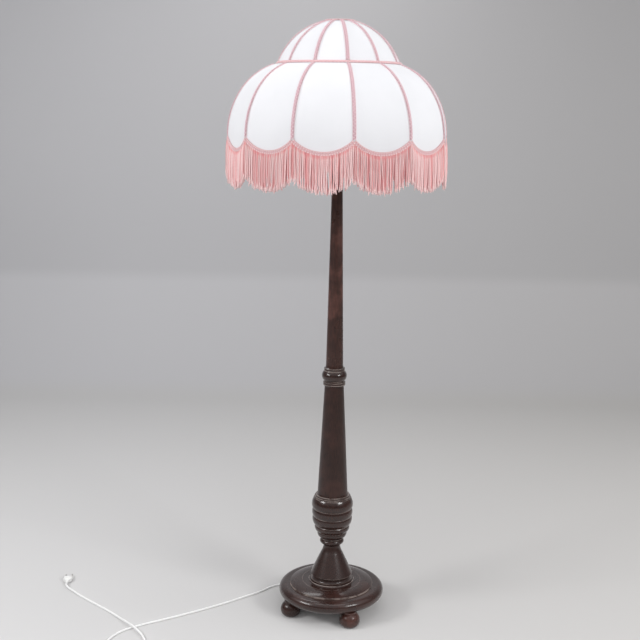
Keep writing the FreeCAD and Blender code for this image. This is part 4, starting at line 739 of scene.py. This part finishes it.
class LAMP_OT_cloth(bpy.types.Operator):
    """Stretch the white cloth over the dome and the bell"""

    bl_idname = "lamp.cloth"
    bl_label = "Shade cloth"

    def execute(self, context):
        shade = sizes()
        cloth = shade_cloth("white_cotton")
        half = math.pi / shade.gores

        rim, _, dome_run = along_curves([dome_curve()], 30)
        share = np.linspace(0, 1, len(rim))
        roundness = (2 * share - 1) ** 4
        flat = rim[:, 0] * (1 - math.cos(half))
        bulges = flat * roundness - shade.dome_hollow * (1 - roundness)
        dome, _ = gore_surface(rim, bulges, GORE_COLUMNS, 2.1)
        self.cover("dome_cloth", dome, cloth, "dome_cover",
                   (2 * math.pi * shade.shoulder_radius, dome_run))

        rim, _, bell_run = along_curves(bell_curves(), 44)
        rise = (rim[:, 1] - cusp_level()) / (BELL_HIGH.z - cusp_level())
        flat = rim[:, 0] * (1 - math.cos(half))
        bulges = flat * rise ** 6 - shade.bell_hollow * np.sin(np.pi * rise)
        bell, across = gore_surface(rim, bulges, GORE_COLUMNS, 1.9)
        skirt_rows = np.linspace(0, 1, 8)[:-1]
        edge = scallop_level(across, shade.gimp_width - 0.5 * MM)
        skirt = np.repeat(bell[:1], len(skirt_rows), 0)
        skirt[..., 2] = edge + (cusp_level() - edge) * skirt_rows[:, None]
        self.cover("bell_cloth", np.concatenate((skirt, bell)), cloth, "bell_cover",
                   (2 * math.pi * shade.cusp_radius, bell_run + shade.scallop_drop))
        return {"FINISHED"}

    def cover(self, name, gore, material, node, flat):
        """All gores of one cover, welded at the ribs, with a folded-in edge and real thickness."""
        shade = sizes()
        rows, columns = gore.shape[:2]
        azimuths, _ = gore_azimuths()
        points = np.concatenate(
            [spun_round(gore[:, :-1], azimuth) for azimuth in azimuths], axis=1)
        wide = points.shape[1]
        index = np.arange(rows * wide).reshape(rows, wide)
        low, high = index[:-1], index[1:]
        quads = np.stack((low, np.roll(low, -1, 1), np.roll(high, -1, 1), high), -1).reshape(-1, 4)
        run_up = np.concatenate(([0.0], np.cumsum(np.linalg.norm(
            np.diff(gore[:, columns // 2], axis=0), axis=1))))
        run_across = np.arange(wide + 1) * (flat[0] / wide)
        uv = np.empty((rows - 1, wide, 4, 2))
        left, right = run_across[:-1], run_across[1:]
        uv[..., 0] = np.stack((left, right, right, left), -1)
        uv[..., 1] = np.stack((run_up[:-1], run_up[:-1], run_up[1:], run_up[1:]), -1)[:, None]
        piece = new_piece(name, points.reshape(-1, 3), quads.reshape(-1), np.full(len(quads), 4),
                          material, uv.reshape(-1, 2))
        seams = set(range(0, wide, columns - 1))
        for line in piece.data.edges:
            first, second = (vertex % wide for vertex in line.vertices)
            if first == second and first in seams:
                line.use_edge_sharp = True
        thicken = piece.modifiers.new("thickness", "SOLIDIFY")
        thicken.thickness = shade.cloth_thickness
        thicken.offset = -1.0
        thicken.use_even_offset = True
        apply_modifiers(piece)
        finish_piece(piece, "shade", "shade_cloth", node)


def apply_modifiers(piece):
    """Makes the piece's modifiers part of its mesh."""
    bpy.context.view_layer.update()
    evaluated = piece.evaluated_get(bpy.context.evaluated_depsgraph_get())
    mesh = bpy.data.meshes.new_from_object(evaluated)
    piece.modifiers.clear()
    piece.data = mesh


def plait(strands, line, normal, width, crease=0.0, closed=False, pitch=None,
          tones=(0.12, 0.4, 0.95), stand=0.0):
    """Lays three flat strands over and under each other along a line of points.

    crease bends the braid back over a rib, and stand lifts it.
    """
    shade = sizes()
    line, normal = np.asarray(line), np.asarray(normal)
    pitch = pitch or shade.braid_pitch
    steps = np.linalg.norm(np.diff(line, axis=0), axis=1)
    run = np.concatenate(([0.0], np.cumsum(steps)))
    total = run[-1] + (np.linalg.norm(line[0] - line[-1]) if closed else 0.0)
    turns = max(1, round(total / pitch)) if closed else total / pitch
    tangent = np.roll(line, -1, 0) - np.roll(line, 1, 0) if closed else np.gradient(line, axis=0)
    tangent /= np.linalg.norm(tangent, axis=1, keepdims=True)
    side = np.cross(tangent, normal)
    side /= np.linalg.norm(side, axis=1, keepdims=True)
    thick = width * 0.105
    broad = width * 0.165
    for number, tone in enumerate(tones):
        phase = 2 * np.pi * (turns * run / total + number / len(tones))
        lateral = (width / 2 - broad) * np.sin(phase)
        height = thick * 0.85 * np.sin(2 * phase) + thick * 1.9 + stand
        height = height - np.abs(lateral) * crease
        path = line + side * lateral[:, None] + normal * height[:, None]
        strands.add(path, normal, broad, thick, 7, tone, closed)


def even_line(points, step):
    """Resamples a polyline at a fixed step."""
    points = np.asarray(points, float)
    run = np.concatenate(([0.0], np.cumsum(np.linalg.norm(np.diff(points, axis=0), axis=1))))
    places = np.linspace(0, run[-1], max(3, int(run[-1] / step) + 1))
    return np.stack([np.interp(places, run, points[:, k]) for k in range(points.shape[1])], -1)


class LAMP_OT_braids(bpy.types.Operator):
    """Sew plaited braid over the ribs and rings, and gimp along the scallops"""

    bl_idname = "lamp.braids"
    bl_label = "Braids and gimp"

    def execute(self, context):
        hues = colours()
        thread = spun_thread("braid_thread", tuple(hues.braid_pale), tuple(hues.braid_rose), 900.0)
        self.over_ribs(spun_thread("rib_thread", (0.97, 0.83, 0.85), (0.66, 0.37, 0.43), 900.0))
        self.round_rings(thread)
        self.along_scallops(thread)
        return {"FINISHED"}

    def over_ribs(self, thread):
        shade = sizes()
        gore = 2 * math.pi / shade.gores
        for name, curves, node, crease, ends in (
                ("bell_rib_braid", bell_curves(), "bell_braid", 0.34, (0.0, 0.010)),
                ("dome_rib_braid", [dome_curve()], "dome_braid", 0.20, (0.006, 0.002))):
            points, normals, total = along_curves(curves, int(sum(
                abs(r * (b - a)) for _, r, a, b in curves) / RIB_STEP))
            run = np.linspace(0, total, len(points))
            keep = (run >= ends[0]) & (run <= total - ends[1])
            line = np.stack((points[keep, 0], 0 * points[keep, 0], points[keep, 1]), -1)
            normal = np.stack((normals[keep, 0], 0 * normals[keep, 0], normals[keep, 1]), -1)
            fade = crease * (1 - (run[keep] / total) ** 4)
            strands = Strands()
            for rib in range(shade.gores):
                azimuth = shade.phase + gore * rib
                path, outward = spun_round(line, azimuth), spun_round(normal, azimuth)
                plait(strands, path, outward, shade.rib_braid_width * 0.78, fade,
                      tones=(0.25, 0.9, 1.3))
                side = spun_round(np.array([0.0, 1.0, 0.0]), azimuth)
                for hand in (-1, 1):
                    offset = hand * shade.rib_braid_width * 0.4
                    sunk = (0.9 * MM - abs(offset) * fade)[:, None]
                    strands.add(path + side * offset + outward * sunk, outward, 0.9 * MM, 0.8 * MM,
                                7, 0.05)
            finish_piece(strands.piece(name, thread), "shade", "pink_braid", node)

    def round_rings(self, thread):
        shade = sizes()
        low_dome = dome_curve()
        bell_end = bell_curves()[1][3]
        bisector = (low_dome[2] + bell_end) / 2
        rings = (
            ("shoulder_ring_braid", "shoulder_braid", shade.shoulder_radius, BELL_HIGH.z, bisector,
             shade.ring_braid_width, 0.0012),
            ("top_ring_braid", "top_braid", shade.top_radius - 0.0006, DOME_HIGH.z,
             low_dome[3] + 0.15, shade.ring_braid_width, 0.0008))
        for name, node, radius, level, tilt, width, stand in rings:
            turns = np.linspace(0, 2 * math.pi, int(2 * math.pi * radius / BRAID_STEP),
                                endpoint=False)
            cos, sin = np.cos(turns), np.sin(turns)
            line = np.stack((radius * cos, radius * sin, np.full(len(turns), level)), -1)
            normal = np.stack((math.cos(tilt) * cos, math.cos(tilt) * sin,
                               np.full(len(turns), math.sin(tilt))), -1)
            strands = Strands()
            plait(strands, line, normal, width, closed=True, stand=stand)
            finish_piece(strands.piece(name, thread), "shade", "pink_braid", node)

    def along_scallops(self, thread):
        shade = sizes()
        azimuths, half = gore_azimuths()
        share = np.linspace(-1, 1, 160)
        apothem = shade.cusp_radius * math.cos(half)
        across = share * shade.cusp_radius * math.sin(half)
        level = scallop_level(share, shade.gimp_width / 2)
        flat = np.stack((np.full(len(share), apothem + 0.3 * MM), across, level), -1)
        flat = even_line(flat, BRAID_STEP)
        strands, edges = Strands(), Strands()
        normal = np.tile((1.0, 0.0, 0.0), (len(flat), 1))
        slope = np.gradient(flat[:, 2], flat[:, 1])
        down = np.stack((0 * slope, slope, -np.ones(len(slope))), -1)
        down /= np.linalg.norm(down, axis=1, keepdims=True)
        run = np.arange(len(flat)) * BRAID_STEP
        # Beads swell the knotted cords; between the beads the colour is darkened as painted shade.
        beads = 0.5 + 0.5 * np.sin(2 * np.pi * run / BEAD_PITCH)
        for azimuth in azimuths:
            outward = spun_round(normal, azimuth)
            plait(strands, spun_round(flat, azimuth), outward, shade.gimp_width * 0.6,
                  tones=(0.4, 0.85, 0.2), pitch=0.009)
            # The two thin cords with tone 2 are dark lines of painted shadow under the gimp's upper
            # and lower edges.
            for offset, tone, reach, lift in ((-0.29, 0.15, 1.2, 1.7), (0.31, 0.0, 1.25, 1.8),
                                              (-0.47, 2.0, 0.6, 0.9), (0.49, 2.0, 0.6, 1.2)):
                edge = flat + down * shade.gimp_width * offset + normal * lift * MM
                knots = reach > 1
                edges.add(spun_round(edge, azimuth), outward, reach * MM, reach * MM, 7,
                          tone / 2 + (1.2 * (1 - beads) if knots else 0.0),
                          taper=0.8 + 0.4 * beads if knots else None)
        cords = spun_thread("gimp_cord_thread", (0.97, 0.83, 0.83), (0.80, 0.44, 0.46), 900.0)
        finish_piece(edges.piece("scallop_gimp_cords", cords), "shade", "pink_braid",
                     "scallop_gimp")
        finish_piece(strands.piece("scallop_edge_gimp", thread), "shade", "pink_braid",
                     "scallop_gimp")


class LAMP_OT_fringe(bpy.types.Operator):
    """Hang the fringe's twisted strands below the scallops"""

    bl_idname = "lamp.fringe"
    bl_label = "Fringe"

    def execute(self, context):
        shade = sizes()
        rng = np.random.default_rng(shade.seed)
        hues = colours()
        pale = tuple(min(0.97, value * 1.22) for value in hues.fringe)
        deep = tuple(value * share for value, share in zip(hues.fringe, (0.88, 0.60, 0.62)))
        thread = spun_thread("fringe_thread", pale, deep, 260.0, 0.12, 0.03)
        strands = Strands()
        azimuths, half = gore_azimuths()
        outer = shade.cusp_radius * math.cos(half)
        drop = np.linspace(0, 1, STRAND_RINGS)
        radius = shade.strand_diameter / 2
        rows = ((outer + 0.9 * MM, 4.6 * MM, 1.0), (outer + 0.3 * MM, 2.2 * MM, 1.0),
                (outer - 0.9 * MM, 0.6 * MM, 1.5))
        for azimuth in azimuths:
            front = max(0.0, -math.sin(azimuth))
            unrest = 0.55 + 0.75 * front + rng.uniform(0, 0.3)
            partings = [(rng.uniform(-0.9, 0.9), rng.uniform(0.05, 0.16),
                         rng.uniform(1.0, 3.4) * MM) for _ in range(2 + round(3 * front))]
            for layer, (reach, flare, sparse) in enumerate(rows):
                edge = reach * math.tan(half)
                count = int(2 * edge / (shade.strand_spacing * sparse))
                for strand in range(count):
                    place = strand + 0.5 + 0.5 * (layer % 2) + rng.uniform(-0.2, 0.2)
                    share = float(np.clip(-1 + 2 * place / count, -0.995, 0.995))
                    head = float(scallop_level(share, shade.gimp_width * 0.8))
                    tail = float(scallop_level(share, shade.gimp_width)) - shade.fringe_length
                    tail += rng.normal(0, 2.4 * MM) + rng.uniform(0, 1) ** 9 * 14 * MM
                    sway = self.sway(rng, drop, share, unrest, partings)
                    phase = rng.uniform(0, 2 * math.pi)
                    out = flare * (1 - np.exp(-drop * 7)) + rng.normal(0, 0.4 * MM) * drop
                    out = out + 0.5 * MM * np.sin(phase + drop * 4) * drop
                    line = np.stack((reach + out, share * edge + sway,
                                     head + (tail - head) * drop), -1)
                    line[-4:, 1] += rng.normal(0, 2.2 * MM) * np.array([0.1, 0.3, 0.65, 1.0])
                    taper = np.ones(STRAND_RINGS)
                    taper[-2:] = 1.12, 0.95
                    # Each strand has its own tone; the inner rows are darker as painted shade
                    # between the strands.
                    tone = np.full(STRAND_RINGS, rng.normal(0.2, 0.42) + 0.42 * layer)
                    # Painted shade under the gimp at the strands' heads.
                    tone[:2] += 0.5
                    # Painted highlight: the strands' tips are paler.
                    tone[-2:] -= 0.8
                    tone = np.clip(tone, 0, 1.4)
                    strands.add(spun_round(line, azimuth),
                                spun_round(np.array([1.0, 0, 0]), azimuth), radius, radius, 7,
                                tone, taper=taper, lead=rng.uniform(0, 0.5))
        finish_piece(strands.piece("fringe_strands", thread), "shade", "pink_fringe", "fringe")
        return {"FINISHED"}

    def sway(self, rng, drop, share, unrest, partings):
        """Sideways drift of one strand: its lean and curl, and the partings that push it."""
        lean = rng.normal(0, 0.9 * MM) * unrest
        if rng.uniform() < 0.04 * unrest:
            lean += rng.normal(0, 4.5 * MM)
        curl = rng.uniform(0.1, 0.7) * unrest * MM
        wave = np.sin(rng.uniform(0, 6.3) + drop * rng.uniform(3, 8))
        drift = lean * drop ** 1.4 + curl * wave * drop
        for place, wide, push in partings:
            near = (share - place) / wide
            if abs(near) < 1:
                drift = drift + math.copysign(push * (1 - abs(near)), near) * drop ** 1.1 * unrest
        return drift


CORD_ROUTE = [
    (-0.1185, 0.1394, 0.0306), (-0.1329, 0.1444, 0.0098), (-0.155, 0.1424, 0.00305),
    (-0.1722, 0.1336, 0.00305), (-0.1908, 0.1172, 0.00305), (-0.2101, 0.0911, 0.00305),
    (-0.2585, 0.0513, 0.00305), (-0.318, 0.002, 0.00305),
    (-0.391, -0.0505, 0.00305), (-0.466, -0.099, 0.00305), (-0.535, -0.140, 0.00305),
    (-0.582, -0.176, 0.00305), (-0.607, -0.222, 0.00305), (-0.615, -0.272, 0.00305),
    (-0.599, -0.320, 0.00305), (-0.556, -0.345, 0.00305), (-0.513, -0.328, 0.00305),
    (-0.496, -0.285, 0.00305), (-0.503, -0.239, 0.00305), (-0.520, -0.199, 0.005),
    (-0.542, -0.172, 0.0096), (-0.570, -0.140, 0.0096), (-0.598, -0.105, 0.005),
    (-0.642, -0.056, 0.00305), (-0.694, -0.0095, 0.00305), (-0.738, 0.031, 0.00305),
    (-0.775, 0.069, 0.0042),
]
PLUG_TAIL = (-0.806, 0.119, 0.007)
BUSH_TIP = 0.1455
CORD_AZIMUTH = math.radians(135)
CORD_LEVEL = 0.0505
LEAD_IN, LEAD_OUT = 0.0144, 0.022


def leaving(reach):
    """A point on the line that the cord leaves the base along."""
    return (reach * math.cos(CORD_AZIMUTH), reach * math.sin(CORD_AZIMUTH), CORD_LEVEL)


class LAMP_OT_cord(bpy.types.Operator):
    """Lay the white mains cord from the base to its plug"""

    bl_idname = "lamp.cord"
    bl_label = "Cord and plug"

    def execute(self, context):
        cord = context.scene.lamp_cord
        sheath = moulded("white_sheath", tuple(colours().sheath), 0.38, 0.05, 0.97)
        turn = cord.plug_azimuth
        tail = Vector(PLUG_TAIL)
        last = tail - Vector((math.cos(turn), math.sin(turn), 0)) * LEAD_OUT
        points = [leaving(BUSH_TIP), leaving(BUSH_TIP + LEAD_IN), *CORD_ROUTE,
                  tuple(last), PLUG_TAIL]
        curve = bpy.data.curves.new("mains_cord", "CURVE")
        curve.dimensions = "3D"
        curve.bevel_depth = cord.diameter / 2
        curve.bevel_resolution = 5
        curve.resolution_u = 24
        curve.use_fill_caps = True
        line = curve.splines.new("NURBS")
        line.points.add(len(points) - 1)
        for spot, point in zip(line.points, points):
            spot.co = (*point, 1.0)
        line.order_u = 3
        line.use_endpoint_u = True
        line.use_smooth = True
        curve.materials.append(sheath)
        piece = bpy.data.objects.new("mains_cord", curve)
        context.scene.collection.objects.link(piece)
        finish_piece(piece, "stand", "cord_white", "free_cord")
        clothe("cord_bush", sheath)
        self.inside(cord, sheath)
        plug = self.plug(context, turn)
        clothe("plug_pins", bpy.data.materials["nickel_plate"])
        return {"FINISHED"}

    def inside(self, cord, sheath):
        """The cord up the column, and its two cores in the lampholder."""
        top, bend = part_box("inner_cord")[1].z, 20 * MM
        ahead = np.array([math.cos(CORD_AZIMUTH), math.sin(CORD_AZIMUTH), 0.0])
        across = (-ahead[1], ahead[0], 0.0)
        turn = np.linspace(0, math.pi / 2, 16)[:, None]
        elbow = (bend * (1 - np.cos(turn)) * ahead + (0, 0, CORD_LEVEL + bend)
                 - np.sin(turn) * (0, 0, bend))
        line = np.concatenate(([(0, 0, top)], elbow, [ahead * BUSH_TIP + (0, 0, CORD_LEVEL)]))
        column_cord = Strands()
        column_cord.add(line, across, cord.diameter / 2, cord.diameter / 2, 16)
        finish_piece(column_cord.piece("column_cord", sheath), "stand", "cord_white", "inner_cord")
        low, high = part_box("lamp_leads")
        radius = (high.x - low.x) / 2
        spread = high.y - radius
        start = low.z + radius * 0.6
        cores = Strands()
        for hand in (-1, 1):
            core = [(0, hand * y, z) for y, z in (
                (1.4 * MM, start), (0.6 * spread, start + 1.2 * MM),
                (0.9 * spread, start + 2.3 * MM), (spread, start + 3.8 * MM), (spread, high.z))]
            cores.add(core, (1, 0, 0), radius, radius, 10)
        finish_piece(cores.piece("lampholder_cores", sheath), "stand", "cord_white", "lamp_leads")

    def plug(self, context, turn):
        """A flat moulded plug: lofted round-cornered sections, with finger ridges."""
        stations = [
            (0.000, 0.0040, 0.0040), (0.004, 0.0044, 0.0043), (0.008, 0.0050, 0.0047),
            (0.011, 0.0078, 0.0056), (0.014, 0.0112, 0.0064), (0.017, 0.0128, 0.0068),
            (0.020, 0.0122, 0.0064), (0.022, 0.0128, 0.0069), (0.0245, 0.0122, 0.0064),
            (0.0265, 0.0128, 0.0069), (0.0290, 0.0123, 0.0065), (0.0315, 0.0126, 0.0067),
            (0.0345, 0.0121, 0.0064), (0.0360, 0.0112, 0.0056),
        ]
        count = 32
        angle = np.linspace(0, 2 * math.pi, count, endpoint=False)
        exponent = 0.5
        across = np.sign(np.cos(angle)) * np.abs(np.cos(angle)) ** exponent
        height = np.sign(np.sin(angle)) * np.abs(np.sin(angle)) ** exponent
        rings = [np.stack((np.full(count, along), across * wide, height * thick), -1)
                 for along, wide, thick in stations]
        points = np.concatenate(rings)
        index = np.arange(len(points)).reshape(len(stations), count)
        low, high = index[:-1], index[1:]
        quads = np.stack((low, np.roll(low, -1, 1), np.roll(high, -1, 1), high), -1).reshape(-1, 4)
        ends = np.concatenate((index[0][::-1], index[-1]))
        corners = np.concatenate((quads.reshape(-1), ends))
        lengths = np.concatenate((np.full(len(quads), 4), (count, count)))
        white = moulded("plug_moulding", (0.91, 0.91, 0.89), 0.35, 0.05)
        piece = new_piece("flat_plug", points, corners, lengths, white)
        piece.data.transform(Matrix.Translation(PLUG_TAIL) @ Matrix.Rotation(turn, 4, "Z"))
        finish_piece(piece, "stand", "plug_white", "plug_body")
        return piece


class LAMP_OT_studio(bpy.types.Operator):
    """Set up the floor, wall, lights and camera"""

    bl_idname = "lamp.studio"
    bl_label = "Studio"

    def execute(self, context):
        studio = context.scene.lamp_studio
        self.sweep(context, studio)
        self.lights(context, studio)
        self.camera(context, studio)
        context.scene.view_settings.view_transform = "Standard"
        return {"FINISHED"}

    def sweep(self, context, studio):
        """Floor and wall, seen from their fronts alone, with painted shade: darker far back, higher
        up the wall and to the right.
        """
        profile = [(-FLOOR_REACH, 0.0), (WALL_AT, 0.0), (WALL_AT, WALL_HEIGHT)]
        points = [(side * FLOOR_REACH, y, z) for side in (-1, 1) for y, z in profile]
        count = len(profile)
        corners, lengths = [], []
        for step in range(count - 1):
            corners += [step, count + step, count + step + 1, step + 1]
            lengths.append(4)
        wiring = Wiring("studio_paper", roughness=0.9, Specular_IOR_Level=0.2)
        axes = wiring.axes()
        floor, wall = tuple(studio.floor), tuple(studio.wall)
        # Painted shade: the floor darkens towards the wall.
        far_floor_shade = tuple(value * 0.70 for value in floor)
        near = wiring.blend(wiring.step(axes[1], -1.2, 2.2, smooth=False), floor, far_floor_shade)
        # Painted shade: the wall is darker above about 0.6 m than below.
        wall_band_shade = tuple(value * 0.90 for value in wall)
        upper = wiring.blend(wiring.step(axes[2], 0.58, 0.66), wall, wall_band_shade)
        upper = wiring.blend(wiring.step(axes[2], 0.7, 1.4), upper, tuple(v * 0.92 for v in wall))
        both = wiring.blend(wiring.step(axes[2], 0.0, 0.12), near, upper)
        # Painted shade: floor and wall darken towards the right.
        right_side_shade = wiring.add("ShaderNodeMix", {}, data_type="RGBA", blend_type="MULTIPLY")
        wiring.tree.links.new(wiring.step(axes[0], -1.2, 1.6), right_side_shade.inputs[0])
        wiring.tree.links.new(both, right_side_shade.inputs[6])
        right_side_shade.inputs[7].default_value = (0.87, 0.86, 0.84, 1.0)
        cloud = wiring.math("MULTIPLY", wiring.noise(wiring.place(), 1.1, 3.0), 0.07)
        dark = tuple(value * 0.8 for value in floor)
        wiring.set("Base Color", wiring.blend(cloud, right_side_shade.outputs[2], dark))
        behind = wiring.add("ShaderNodeNewGeometry", {}).outputs["Backfacing"]
        clear = wiring.add("ShaderNodeBsdfTransparent", {}).outputs[0]
        one_sided = wiring.add("ShaderNodeMixShader", {
            0: behind, 1: wiring.shader.outputs[0], 2: clear}).outputs[0]
        wiring.tree.links.new(one_sided, wiring.tree.nodes["Material Output"].inputs["Surface"])
        paper = new_piece("studio_sweep", np.array(points), np.array(corners), np.array(lengths),
                          wiring.material)

    def lights(self, context, studio):
        """A sky brighter above, flat for the camera, and six lamps that the camera can't see."""
        world = context.scene.world or bpy.data.worlds.new("soft_room")
        context.scene.world = world
        world.use_nodes = True
        tree = world.node_tree
        sky = tree.nodes["Background"]
        way = tree.nodes.new("ShaderNodeTexCoord")
        parts = tree.nodes.new("ShaderNodeSeparateXYZ")
        tree.links.new(way.outputs["Generated"], parts.inputs[0])
        ramp = tree.nodes.new("ShaderNodeMapRange")
        ramp.interpolation_type = "SMOOTHSTEP"
        for key, value in (("From Min", 0.05), ("From Max", 0.75),
                           ("To Min", 0.12), ("To Max", 0.74)):
            ramp.inputs[key].default_value = value
        tree.links.new(parts.outputs[2], ramp.inputs["Value"])
        seen = tree.nodes.new("ShaderNodeMix")
        path = tree.nodes.new("ShaderNodeLightPath")
        tree.links.new(path.outputs["Is Camera Ray"], seen.inputs[0])
        tree.links.new(ramp.outputs["Result"], seen.inputs[2])
        seen.inputs[3].default_value = 0.45
        tree.links.new(seen.outputs[0], sky.inputs["Strength"])
        sky.inputs["Color"].default_value = (0.97, 0.98, 1.0, 1.0)
        power = studio.key_power
        for name, place, aim, size, power in (
                ("left_box", (-2.5, -1.2, 2.1), (0, 0, 1.0), (1.2, 0.6), power * 1.95),
                ("right_box", (2.2, -1.9, 2.1), (0, 0, 1.0), (1.2, 0.6), power * 1.7),
                ("front_fill", (0.3, -3.9, 1.9), (0, 0, 1.1), (2.6, 1.6), power * 0.75),
                ("side_fill", (3.0, 0.2, 1.4), (0, 0, 1.2), (1.2, 1.4), power * 0.8),
                ("overhead", (0.0, -0.55, 3.5), (0, -0.2, 0.0), (2.6, 1.4), power * 0.9),
                ("back_top", (-0.5, 1.75, 2.7), (0, 0, 0.2), (1.8, 0.5), power * 0.5)):
            lamp = bpy.data.lights.new(name, "AREA")
            lamp.shape = "RECTANGLE"
            lamp.size, lamp.size_y = size
            lamp.energy = power
            holder = bpy.data.objects.new(name, lamp)
            context.scene.collection.objects.link(holder)
            holder.visible_camera = False
            holder.visible_glossy = not name.endswith("fill")
            holder.location = place
            facing = Vector(aim) - Vector(place)
            holder.rotation_euler = facing.to_track_quat("-Z", "Y").to_euler()

    def camera(self, context, studio):
        """The viewpoint of the photograph."""
        pitch, yaw, roll = (math.radians(angle) for angle in CAMERA_TURNS)
        forward = Vector((math.sin(yaw) * math.cos(pitch), math.cos(yaw) * math.cos(pitch),
                          -math.sin(pitch)))
        right = forward.cross(Vector((0, 0, 1))).normalized()
        above = right.cross(forward)
        right, above = (right * math.cos(roll) + above * math.sin(roll),
                        above * math.cos(roll) - right * math.sin(roll))
        view = bpy.data.cameras.new("photo_camera")
        view.sensor_width = 36.0
        view.lens = FOCAL_PIXELS / PHOTO_PIXELS * view.sensor_width
        camera = bpy.data.objects.new("photo_camera", view)
        context.scene.collection.objects.link(camera)
        turned = Matrix((right, above, -forward)).transposed().to_4x4()
        camera.matrix_world = Matrix.Translation(
            (0, -studio.camera_distance, studio.camera_height)) @ turned
        context.scene.camera = camera


class LAMP_PT_panel(bpy.types.Panel):
    """The lamp's builders and settings"""

    bl_idname = "LAMP_PT_panel"
    bl_label = "Candlestick lamp"
    bl_space_type = "VIEW_3D"
    bl_region_type = "UI"
    bl_category = "Lamp"

    def draw(self, context):
        for builder in BUILDERS:
            self.layout.operator(builder.bl_idname)
        for group in (context.scene.lamp_shade, context.scene.lamp_cord,
                      context.scene.lamp_colours, context.scene.lamp_studio):
            box = self.layout.box()
            for name in group.__annotations__:
                box.prop(group, name)


BUILDERS = (LAMP_OT_wood, LAMP_OT_fittings, LAMP_OT_cloth, LAMP_OT_braids, LAMP_OT_fringe,
            LAMP_OT_cord, LAMP_OT_studio)
CLASSES = (LampShadeSizes, LampCordSizes, LampColours, LampStudio, *BUILDERS, LAMP_PT_panel)


def register():
    for item in CLASSES:
        bpy.utils.register_class(item)
    bpy.types.Scene.lamp_shade = PointerProperty(type=LampShadeSizes)
    bpy.types.Scene.lamp_cord = PointerProperty(type=LampCordSizes)
    bpy.types.Scene.lamp_colours = PointerProperty(type=LampColours)
    bpy.types.Scene.lamp_studio = PointerProperty(type=LampStudio)


def unregister():
    for name in ("lamp_shade", "lamp_cord", "lamp_colours", "lamp_studio"):
        delattr(bpy.types.Scene, name)
    for item in reversed(CLASSES):
        bpy.utils.unregister_class(item)


def main():
    register()
    bpy.ops.lamp.wood()
    bpy.ops.lamp.fittings()
    bpy.ops.lamp.cloth()
    bpy.ops.lamp.braids()
    bpy.ops.lamp.fringe()
    bpy.ops.lamp.cord()
    bpy.ops.lamp.studio()


if __name__ == "__main__":
    main()
